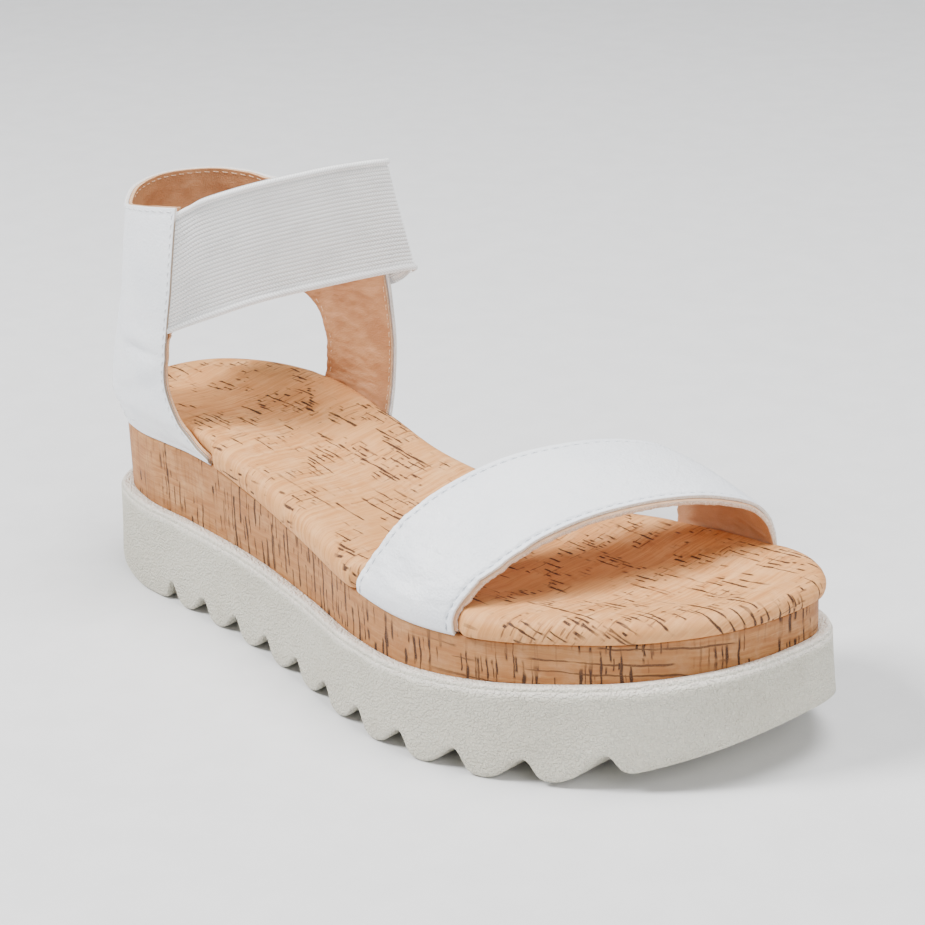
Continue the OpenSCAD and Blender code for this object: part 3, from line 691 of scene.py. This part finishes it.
def squeeze(x, side):
    """How far the straps press in the footbed's edge: 0 free, 1 pressed."""
    out = np.zeros(len(x))
    for s, (a, b) in (*VAMP_X.items(), *LEG_X.items()):
        out = np.maximum(out, np.where(side == s, within(x, a - 5.0, a + 1.0, b - 1.0, b + 5.0), 0))
    return out


# Section of the footbed's edge: inset from its widest line, share of its thickness, and how
# far an upright strap and the toe strap's outer end press it in.
EDGE_PROFILE = [
    (2.9, -0.02, 3.4, 3.4), (2.2, 0.0, 3.5, 3.5), (1.1, 0.015, 3.6, 3.6), (0.35, 0.1, 3.6, 3.7),
    (0.05, 0.24, 3.4, 3.7), (0.0, 0.4, 2.8, 3.8), (0.12, 0.55, 2.2, 4.0), (0.5, 0.69, 1.6, 4.0),
    (1.15, 0.82, 1.0, 3.8), (2.0, 0.91, 0.6, 3.4), (3.0, 0.965, 0.3, 2.6), (4.2, 0.995, 0.1, 1.7),
    (5.6, 1.005, 0.0, 0.8), (7.4, 0.995, 0.0, 0.2), (9.5, 0.965, 0.0, 0.0)]


def build_footbed():
    """The padded cork cover, pressed in where the straps go down and dished on top."""
    press = squeeze(ring_p[:, 0], ring_side)
    lean = ((ring_side < 0) & (ring_p[:, 0] > 0)).astype(float)
    ripple = 0.16 * lumps(ring_flat, 9.0, 6.0, 2)
    rings = []
    for inset, share, upright, leaning in EDGE_PROFILE:
        pressed_in = press * (upright * (1 - lean) + leaning * lean)
        swell = ripple * math.sin(math.pi * min(max(share, 0), 1)) * (1 - press)
        rings.append(ring(BULGE + inset + pressed_in + swell,
                          lambda x: last_z(x) + share * edge_t(x) + 0.15))
    # the flat map: unrolled down the side from the upper edge
    top = rings[-1]
    uv, arc = [top[:, :2]], 0
    for low, high in zip(rings[-2::-1], rings[:0:-1]):
        arc = arc + np.linalg.norm(high - low, axis=1)
        uv.insert(0, top[:, :2] + ring_n * arc[:, None])

    def dish(p, share):
        """Height of the top, which sinks away from its edges."""
        x = p[..., 0]
        across = top[1:K - 1] - top[N - np.arange(1, K - 1)]
        gap = np.minimum(share, 1 - share) * np.linalg.norm(across[:, None, :2], axis=-1)
        sink = 1.9 * smoothstep(0, 20, gap) + 0.035 * edge_t(x)
        return last_z(x) + edge_t(x) - sink + 0.15 + 0.22 * lumps(p * (1, 1, 0), 38.0, 5.0, 2)

    verts, faces = shell(rings, 30, lambda p, s: last_z(p[..., 0]) + 0.05, dish)
    flat = verts[:, :2].copy()
    flat[:len(uv) * N] = np.concatenate(uv)
    return make("footbed_cover", verts, faces, [CORK_TOP], flat)


# ---- Toe strap ----

# Straps' ends: where they meet the cork wall's top edge, and the turned-in part below the
# footbed as (inset, depth) points.
FOOT, FOOT_LIFT = LEDGE - 1.2, 1.4
TURN_IN = [[9.0, 2.3], [5.0, 2.3], [1.6, 0.75], [0.4, -0.4]]
# The toe strap's rear and front edges, across the foot: (way across, height).
VAMP_REAR = [[0, 43], [0.2, 46], [3, 50.3], [6.7, 54.8], [13, 61.8], [25, 69.5], [38, 74.6],
             [50, 77.3], [62, 78.2], [75, 77.6], [87, 75.4], [94.5, 72.6], [99.6, 67], [101.3, 59],
             [101.5, 50], [101.5, 42.1]]
VAMP_FRONT = [[0, 42], [0, 45.4], [1.8, 49.3], [5.4, 53.1], [10.4, 56.8], [25.6, 64.5], [38, 68.3],
              [50, 70], [62, 70.4], [75, 69.4], [87, 66.4], [94, 63.3], [98.4, 58.8], [100.4, 53.6],
              [101, 49], [101, 44.5]]
VAMP_W, LEATHER_T, LINING_T, GLUE = 36.0, 1.1, 0.9, 0.12


def foot_points(side, x):
    """The turned-in end at x, from its edge up to the lasting line, in control points."""
    pts = []
    for inset, down in TURN_IN:
        p = side_point(side, x, FOOT + inset)
        pts.append([p[0], p[1], last_z(p[0]) - down])
    p = side_point(side, x, FOOT)
    return pts, np.array([p[0], p[1], last_z(p[0]) + FOOT_LIFT])


def vamp_column(v):
    """Control points of the strap's outer surface from end to end, at v across it."""
    left, a = foot_points(-1, VAMP_X[-1][0] * (1 - v) + VAMP_X[-1][1] * v)
    right, b = foot_points(1, VAMP_X[1][0] * (1 - v) + VAMP_X[1][1] * v)
    s = np.array(VAMP_REAR) * (1 - v) + np.array(VAMP_FRONT) * v
    w = s[:, :1] / 101.4
    arch = a + (b - a) * w
    t = np.linspace(0, 1, len(s))
    arch[:, 2] = s[:, 1] + (a[2] - s[0, 1]) * (1 - t) + (b[2] - s[-1, 1]) * t
    return np.concatenate([left, arch, right[::-1]])


def spaced(lengths, near_edges, step):
    """Positions from 0 to `lengths`: close together near both ends, `step` apart between."""
    start, end = near_edges[-1], lengths - near_edges[-1]
    inner = np.linspace(start, end, max(2, int((end - start) / step)))
    return np.concatenate([near_edges[:-1], inner, lengths - np.array(near_edges[:-1])[::-1]])


# Distances of the grid's rows from a sheet's edge, and of its stitch line.
EDGE_ROWS = [0, 0.15, 0.5, 1.0, 1.5, 1.8, 2.0, 2.2, 2.5, 3.0, 3.7]
SEAM, GRID = 2.0, 0.7


def evenly(points, samples):
    """Every GRID along the smooth curve through the points: distances from its start, the
    same counted in points, and the curve's length."""
    steps = np.linspace(0, len(points) - 1, samples)
    run = run_length(weights(len(points), steps) @ points)
    stops = np.arange(0, run[-1], GRID)
    return stops, np.interp(stops, run, steps), run[-1]


def groove(dist, depth=0.55, width=0.34):
    """The leather is drawn down along a stitch line at distance 0."""
    return -depth * np.exp(-(dist / width) ** 2)


def build_vamp(rows=9):
    """The toe strap's leather, lining and threads, on a net of `rows` curves across the foot."""
    net = np.stack([vamp_column(v) for v in np.linspace(0, 1, rows)])
    stops, t, length = evenly(net[rows // 2], 3000)
    v_mm = spaced(VAMP_W, EDGE_ROWS, 0.9)
    v = v_mm / VAMP_W
    along, down = np.meshgrid(stops, v_mm)
    grid = np.einsum("vr,tc,rck->vtk", weights(rows, v * (rows - 1)), weights(net.shape[1], t), net)
    n = towards(surface_normals(grid), grid, (60.0, 0.0, 45.0))
    # a crown, wrinkles where the strap is pulled down on the outer side, and a soft ripple
    crown = 0.9 * (1 - (2 * v - 1) ** 2)
    pull = within(along, 9, 20, 28, 58)
    arch = within(along, 8, 16, length - 16, length - 8)
    wrinkles = lambda a, b, c, *more: lumps(np.stack([along * a, down * b, 0 * down + c], -1), *more)
    folds = wrinkles(1.9, 0.55, 0, 9.0, 2.0)
    fine_folds = wrinkles(1.0, 0.4, 3, 3.6, 5.0)
    soft = lumps(grid, 30.0, 8.0, 2)
    swell = (crown[:, None] + (0.45 * folds + 0.22 * fine_folds) * pull + 0.3 * soft) * arch
    grid = grid - n * swell[..., None]
    near_edge = np.minimum(down, VAMP_W - down)
    lift = groove(near_edge - SEAM) * arch
    uv = np.stack([along, down], -1)
    top = thick("vamp_leather", grid, n, LEATHER_T, [WHITE, WHITE_EDGE], lift, uv=uv)
    under = grid + n * (LEATHER_T + GLUE)
    tucks = 0.3 + 0.5 * smoothstep(length - 34, length - 18, along)
    crinkle = tucks * wrinkles(1.2, 0.4, 0, 6.0, 4.0) * arch
    lining = thick("vamp_lining_sheet", frayed(under, 0.8), n, LINING_T + 0.6, [PALE_TAN_AND_PAINTED_LIGHT, FRAYED],
                   -np.abs(crinkle) * smoothstep(1, 4, near_edge), uv=uv)
    keep = (stops > 9.5) & (stops < length - 9.5)
    threads = []
    for name, place in (("vamp_thread_rear", SEAM), ("vamp_thread_front", VAMP_W - SEAM)):
        row = np.argmin(abs(v_mm - place))
        points = (grid - n * lift[..., None])[row][keep]
        threads.append(stitches(name, [(points, -n[row][keep])], [STRAP_THREAD_PAINTED_SHADE]))
    return top, lining, *threads


# ---- Ankle collar ----

# Control points of the collar's outer surface: columns from the outer leg's front edge round
# the heel to the inner leg's front edge, each from the top edge down to the footbed.
COLLAR = [
    [[-75.5, -26.5, 134], [-75.4, -30.6, 113], [-78.4, -32, 93], [-80.6, -32.6, 77], [-76.2, -32.6, 66]],
    [[-82, -28.4, 133.4], [-82.5, -31.7, 112.5], [-85, -32.8, 92.7], [-86, -33.2, 77], [-84, -32.9, 66]],
    [[-91, -29.2, 132.4], [-92.5, -31.8, 112], [-94.5, -32.3, 91], [-95.5, -32.4, 76.5], [-95.5, -31.8, 66]],
    [[-101, -26.5, 131.2], [-102.6, -28.4, 111], [-105.5, -29.2, 89.7], [-107.5, -29.3, 76],
        [-107.5, -29.4, 66]],
    [[-111.8, -13.8, 132.1], [-113, -16.2, 110], [-116, -20, 88.5], [-118.4, -21.5, 78], [-118, -23.6, 66.5]],
    [[-116.5, 1.5, 132.1], [-117, 1.5, 109], [-117.5, 1.5, 88.5], [-119, 0, 76], [-121, 0, 66]],
    [[-112.8, 18, 130.8], [-113, 19, 109], [-112.5, 20, 89], [-112, 22, 76], [-112, 25, 66]],
    [[-103.5, 26.3, 129.4], [-103, 29.5, 109], [-101, 31.8, 90], [-96, 34, 78], [-96, 34.5, 66]],
    [[-92, 28.8, 128.6], [-89, 33, 110.5], [-84.5, 35, 91.5], [-79, 35.6, 78], [-78.5, 35.4, 67]],
    [[-74, 31.6, 131.8], [-71.3, 34.8, 113.5], [-68, 37, 96], [-64, 37.2, 79], [-63.5, 36.4, 67]],
    [[-55, 33.3, 138.6], [-53, 36.3, 117], [-50.5, 37.9, 99], [-48.8, 37.8, 82], [-49, 36.8, 67]]]
# Where each column meets the sole: x and side.
COLLAR_FOOT = [(x, -1) for x in (-66, -78, -91, -103.5, -114.5, -121)]
COLLAR_FOOT += [(x, 1) for x in (-107, -96, -82, -65, -46.5)]
# Two more rows between the net and the foot: share of the way across and of the height.
HEM_ROWS = [(0.6, 0.52), (0.3, 0.22)]


def collar_net():
    """The control points from the top edge down to the turned-in ends."""
    net = []
    for points, (x, side) in zip(COLLAR, COLLAR_FOOT):
        tab, foot = foot_points(side, x)
        hem = np.array(points[-1], float)
        near = [foot + (hem - foot) * (a, a, b) for a, b in HEM_ROWS]
        net.append(points + [n.tolist() for n in near] + [foot.tolist()] + tab[::-1])
    return np.array(net, float)


NET = collar_net()


def collar_at(u, v):
    """Points of the collar's outer surface; u and v are arrays of one shape, in net steps."""
    shape = np.shape(u)
    wu, wv = weights(NET.shape[0], np.ravel(u)), weights(NET.shape[1], np.ravel(v))
    return np.einsum("nu,nv,uvk->nk", wu, wv, NET, optimize=True).reshape(shape + (3,))


def collar_normal(u, v, e=0.02):
    return unit(np.cross(collar_at(u + e, v) - collar_at(u - e, v),
                         collar_at(u, v + e) - collar_at(u, v - e)))


# In net steps: the band's lower edge, the legs' inner edges and the fillets between them.
BAND_END, OUTER_LEG, INNER_LEG, FILLET = 2.0, 4.0, 8.0, 0.55
# In millimetres: the band's height and the legs' widths, for the spacing of the grid.
COLLAR_BAND_H, OUTER_LEG_W, INNER_LEG_W = 43.0, 46.0, 36.0


def collar_grid():
    """u and v of the collar's points, and which cells exist: the band all round, and the two
    legs, whose inner corners with the band are rounded."""
    v_band = np.interp(spaced(COLLAR_BAND_H, EDGE_ROWS, 0.9), [0, COLLAR_BAND_H], [0, BAND_END])
    v_leg = [np.linspace(0, 1, 30)[1:] ** 1.5 * 0.9, np.linspace(0.9, 3.0, 44)[1:],
             np.linspace(3.0, 9.0, 60)[1:]]
    v = np.concatenate([v_band, BAND_END + np.concatenate(v_leg)])
    t = np.clip((v - BAND_END) / 0.6, 0, 1)
    fillet = FILLET * (1 - np.sqrt(1 - (1 - t) ** 2))
    a_cols = spaced(1.0, np.array(EDGE_ROWS) / OUTER_LEG_W, 0.75 / OUTER_LEG_W)
    c_cols = spaced(1.0, np.array(EDGE_ROWS) / INNER_LEG_W, 0.75 / INNER_LEG_W)
    b_cols = np.linspace(0, 1, 70)[1:-1]
    rows = []
    for value, f in zip(v, fillet):
        f = FILLET if value <= BAND_END else f
        end, start = OUTER_LEG + f, INNER_LEG - 0.75 * f
        rows.append(np.concatenate([a_cols * end, end + b_cols * (start - end),
                                    start + c_cols * (10 - start)]))
    u = np.array(rows)
    v = np.repeat(v[:, None], u.shape[1], 1)
    na, nb = len(a_cols), len(b_cols)
    keep = np.ones((u.shape[0] - 1, u.shape[1] - 1), bool)
    keep[len(v_band) - 1:, na - 1:na + nb] = False
    return u, v, keep, len(v_band), na, nb


def build_collar():
    """Leather and lining of the collar, and what its threads need to lie on them."""
    u, v, keep, bands, na, nb = collar_grid()
    grid = collar_at(u, v)
    n = towards(collar_normal(u, v), grid, (-82.0, 2.0, 100.0))
    # a crease and a dent on the outer leg, and a soft overall unevenness
    free = 1 - smoothstep(5.2, 6.6, v)
    soft = 0.35 * lumps(grid, 26.0, 11.0, 2)
    crease_line = grid[..., 2] - (72 + 0.35 * (grid[..., 0] + 95))
    crease = -0.55 * np.exp(-(crease_line / 3.2) ** 2) * within(u, 0.2, 1.2, 2.6, 3.8)
    bulge = 0.5 * np.exp(-((crease_line - 6) / 4.5) ** 2) * within(u, 0.2, 1.2, 2.6, 3.8)
    spot = lambda middle, size: np.exp(-np.sum(((grid - middle) / size) ** 2, -1))
    dent = 0.8 * spot((-92, -32, 90.5), (10.0, 8.0, 3.0)) - 1.5 * spot((-92, -32, 85.5), (9.0, 8.0, 2.0))
    swell = (soft + crease + bulge + dent) * free
    grid = grid - n * swell[..., None]
    distance_top = np.linalg.norm(grid - grid[:1], axis=-1)
    seam_top = groove(distance_top - SEAM, 0.2)
    lift = np.where(v < 1.0, seam_top, 0.0)
    steps = np.linalg.norm(np.diff(grid, axis=1, prepend=grid[:, :1]), axis=-1)
    around = np.cumsum(steps, axis=1)
    uv = np.stack([around, grid[..., 2]], -1)
    top = thick("collar_leather", grid, n, LEATHER_T, [WHITE, WHITE_EDGE], lift, keep, uv)
    near_edge = np.minimum(distance_top, np.minimum(around, around[:, -1:] - around))
    crinkle = 0.6 * lumps(grid * (1.0, 1.0, 2.2), 13.0, 4.0, 3) * smoothstep(1.5, 6, near_edge) * free
    # the lining leaves room for the elastic's outer end and stops short of the front edges
    room = (ELASTIC_T + 0.15) * (1 - smoothstep(1.35, 1.95, u))
    room *= 1 - smoothstep(BAND_END - 0.08, BAND_END + 0.1, v)
    depth = LEATHER_T + GLUE + room
    set_back = keep.copy()
    set_back[:bands - 1, :EDGE_ROWS.index(1.0)] = False
    set_back[:, -EDGE_ROWS.index(1.0):] = False
    lining = thick("collar_lining_sheet", grid + n * depth[..., None], n, LINING_T + 0.2,
                   [TAN, TAN_EDGE], -np.abs(crinkle), set_back, uv)
    surface = grid - n * lift[..., None]
    inside = grid + n * (depth + LINING_T + 0.15)[..., None]
    return top, lining, (surface, -n, inside, u, v, bands, na, nb)


# Where stray ends of thread stand out of the outer leg, and which way they go.
STRAY_ENDS = [((-119.0, -22.6, 64.0), (-0.6, -0.6, 0.5)), ((-103.2, -30.0, 57.7), (-0.7, -0.6, 0.1)),
              ((-77.0, -32.6, 91.1), (0.8, -0.5, 0.3))]
STRAY_LENGTH = 2.6


def thread_end(surface, place, way):
    """A short end of thread from the point of the surface nearest to `place`."""
    flat = surface.reshape(-1, 3)
    start = flat[np.argmin(np.linalg.norm(flat - place, axis=1))]
    share = np.linspace(-0.25, 1, 30)[:, None]
    return start + share * STRAY_LENGTH * np.array(way), np.tile((0.0, 0.0, 1.0), (30, 1))


def line_on(surface, out, picks):
    """The points and outward normals at the picked rows and columns of a grid."""
    i, j = zip(*picks)
    return surface[list(i), list(j)], out[list(i), list(j)]


def build_collar_threads(sheet_data):
    """The seams' threads, on the leather and, where they can be seen, on the lining."""
    surface, out, inside, u, v, bands, na, nb = sheet_data
    r = EDGE_ROWS.index(SEAM)
    last = u.shape[1] - 1
    leg_rows = [i for i in range(bands, u.shape[0]) if v[i, 0] < 6.6]
    down = [*range(r, bands), *leg_rows]
    front = lambda picks: line_on(surface, out, picks)
    back = lambda picks: line_on(inside, -out, picks)
    sewn = lambda name, *rows, mats=(THREAD, TAN_THREAD): stitches(
        "collar_thread_" + name, rows, mats, length=2.2, gap=0.8, radius=0.2)
    ends = [thread_end(surface[:, :na], place, way) for place, way in STRAY_ENDS]
    return (sewn("top", front([(r, j) for j in range(r, last - r)]),
                 back([(r, j) for j in range(na - 20, last - r)])),
            sewn("arch", front([(i, na - 1 - r) for i in reversed(leg_rows)] +
                               [(bands - 1 - r, j) for j in range(na - 1 - r, na + nb + r)] +
                               [(i, na + nb + r) for i in leg_rows]),
                 back([(i, na + nb + r) for i in leg_rows])),
            sewn("outer_edge", front([(i, r) for i in down]), *ends, mats=[THREAD]),
            sewn("inner_edge", front([(i, last - r) for i in down]),
                 back([(i, last - r) for i in leg_rows])))


# ---- Elastic ----

# The free part of the elastic in front of the ankle: its top and its lower edge. Its sewn
# ends reach down to these places on the collar, in net steps.
FREE_ELASTIC = [
    [[-69.5, -18.8, 136.6], [-71.5, -22.4, 97.2]], [[-60.5, -5, 140], [-60.3, -6.5, 102]],
    [[-52.3, 13.5, 141.8], [-49.8, 15.5, 104.4]], [[-47.3, 26, 142], [-44.4, 32, 104.8]],
    [[-45.6, 31.4, 141.8], [-42.7, 39.6, 104.3]], [[-46, 34.6, 141.3], [-43.3, 42.4, 103.5]],
    [[-49, 36.8, 140.5], [-47.2, 43, 101.6]]]
START_LOW, END_LOW = 1.95, 2.03


def elastic_edges():
    """Top, middle and lower line of the elastic's outer surface, as in the CAD source."""
    one = lambda f, u, v: f(np.array([u]), np.array([v]))[0]
    sign = 1.0 if np.dot(one(collar_normal, 5.0, 1.0), [1, 0, 0]) > 0 else -1.0
    beside = lambda u, v, d: one(collar_at, u, v) + d * sign * one(collar_normal, u, v)
    sewn = lambda u, d, low: [beside(u, 0.1, d), beside(u, (0.1 + low) / 2, d), beside(u, low, d)]
    under, over = LEATHER_T + 0.1, -(ELASTIC_T + 0.15)
    start = np.array([sewn(u, under, START_LOW) for u in (1.2, 0.6, 0.1)])
    free = np.array([[top, np.add(top, low) / 2, low] for top, low in FREE_ELASTIC])
    first = start[-1] + 0.35 * (free[0] - start[-1])
    end = [sewn(9.97, over - 0.4, END_LOW), sewn(9.7, over, END_LOW), sewn(9.4, over, END_LOW)]
    return np.concatenate([start, first[None], free, end])


def build_elastic():
    """The band, its threads and the length of its upper edge."""
    edges = elastic_edges()
    stops, t, length = evenly(edges[:, 0], 2000)
    e = weights(len(edges), t) @ edges.reshape(len(edges), 9)
    lower = SELVAGE + RIBS * RIB_PITCH
    v_mm = np.concatenate([[0, 0.15, 0.45, 0.8, 1.2, 1.6, 1.9, 2.1, 2.35],
                           np.linspace(SELVAGE, lower, RIBS * 7 + 1),
                           lower + np.array([0.25, 0.6, 1.0, 1.5, 1.9, 2.2, 2.4])])
    v = v_mm / BAND_H
    shares = ((1 - v) * (1 - 2 * v), 4 * v * (1 - v), v * (2 * v - 1))
    grid = sum(w[:, None, None] * e[None, :, 3 * k:3 * k + 3] for k, w in enumerate(shares))
    n = towards(surface_normals(grid), grid, (-90.0, 2.0, 118.0))
    along, down = np.meshgrid(stops, v_mm)
    phase = (down - SELVAGE) / RIB_PITCH
    ribbed = (phase > 0) & (phase < RIBS)
    rib = np.where(ribbed, RIB_DEPTH * (np.abs(np.sin(np.pi * phase)) ** 0.7 - 1), 0.0)
    # rolled edges, the upper one with a groove under it
    roll = lambda middle, radius: np.sqrt(np.clip(1 - ((down - middle) / radius) ** 2, 0, 1))
    rolled = 0.75 * roll(BAND_H - 1.2, 1.2) + 0.65 * roll(1.05, 1.05)
    rolled -= 0.75 * np.exp(-((down - 2.35) / 0.35) ** 2)
    soft = 0.35 * lumps(grid, 30.0, 21.0, 2) * within(along, 10, 24, length - 24, length - 12)
    grid = grid - n * soft[..., None]
    band = thick("elastic_front_band", grid, n, ELASTIC_T, [ELASTIC, ELASTIC], rib + rolled,
                 uv=np.stack([along, down], -1), edge=0.25)
    columns = [int((length - d) / GRID) for d in (2.5, 6.5)]
    rows = [(grid[6:-8, c], -n[6:-8, c]) for c in columns]
    return band, stitches("elastic_thread", rows, [THREAD]), length


# ---- The pieces and what they ride on ----

outsole, wall, footbed = build_outsole(), build_wall(), build_footbed()
vamp, vamp_lining, thread_rear, thread_front = build_vamp()
for piece, slot, *nodes in (
        (outsole, "outsole_foam", "outsole"),
        (wall, "cork", "midsole_cork_band", "midsole_core"),
        (footbed, "cork", "footbed_cork_cover", "footbed_foam", "insole_board"),
        (vamp, "white_leather", "vamp_outer"),
        (vamp_lining, "tan_lining", "vamp_lining", "vamp_tape"),
        (thread_rear, "thread", "vamp_rear_stitching"),
        (thread_front, "thread", "vamp_front_stitching")):
    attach(piece, "sandal_base")
    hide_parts(*nodes)

collar, collar_lining, sheet_data = build_collar()
top_thread, arch_thread, outer_thread, inner_thread = build_collar_threads(sheet_data)
for piece, slot, *nodes in (
        (collar, "white_leather", "collar_outer", "lateral_leg_tab", "medial_leg_tab"),
        (collar_lining, "tan_lining", "collar_lining", "collar_tape"),
        (top_thread, "thread", "collar_top_stitching"),
        (arch_thread, "thread", "collar_arch_stitching"),
        (outer_thread, "thread", "lateral_edge_stitching"),
        (inner_thread, "thread", "medial_edge_stitching")):
    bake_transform(piece)
    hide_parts(*nodes)

elastic, elastic_thread, elastic_length = build_elastic()
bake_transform(elastic)
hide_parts("elastic_band")
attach(elastic_thread, "ankle_collar")
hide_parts("elastic_stitching")

# ---- Floor, light and camera ----


def build_floor(half=4000):
    m = Nodes("studio_floor")
    speck = m.noise(m.add("TexCoord", out="Object"), 60.0, 3.0, 0.6)
    grey = m.mix(m.ramp(speck, 0.3, 0.7), 0xDEDEDE, 0xE2E2E2)
    m.done(Base_Color=grey, Roughness=0.75)
    corners = [[-half, -half, 0], [half, -half, 0], [half, half, 0], [-half, half, 0]]
    make("floor", corners, [[0, 1, 2, 3]], [m.mat])


SHOE_MIDDLE = (0, 0, 0.05)


def add_light(name, at, size, power):
    """A round soft light that faces the shoe."""
    data = bpy.data.lights.new(name, "AREA")
    data.shape, data.size, data.energy = "DISK", size, power
    obj = link(name, data)
    obj.location = at
    obj.rotation_euler = (Vector(SHOE_MIDDLE) - Vector(at)).to_track_quat("-Z", "Y").to_euler()


build_floor()
add_light("key", (-0.65, -0.9, 1.35), 0.55, 50)
add_light("top", (0.3, 0.25, 1.5), 0.9, 28)
add_light("fill", (1.35, -0.2, 0.8), 1.2, 13)
world = bpy.context.scene.world or bpy.data.worlds.new("studio")
bpy.context.scene.world = world
world.use_nodes = True
sky = world.node_tree.nodes["Background"].inputs
sky[0].default_value, sky[1].default_value = (0.9, 0.93, 1.0, 1), 0.3

# The camera stands as the photographer's did: angles in degrees, lens for a 36 mm wide frame.
AZIMUTH, ELEVATION, ROLL, LENS, SENSOR = 46.63, 22.19, -2.19, 101.11135, 36.0
CAMERA_AT = (0.5374, -0.4891, 0.3581)
camera_data = bpy.data.cameras.new("camera")
camera_data.sensor_width, camera_data.lens = SENSOR, LENS
camera_data.clip_start, camera_data.clip_end = 0.01, 20
camera = link("camera", camera_data)
bpy.context.scene.camera = camera
place = Matrix.Translation(CAMERA_AT)
for angle, axis in ((AZIMUTH, "Z"), (90 - ELEVATION, "X"), (ROLL, "Z")):
    place = place @ Matrix.Rotation(math.radians(angle), 4, axis)
camera.matrix_world = place
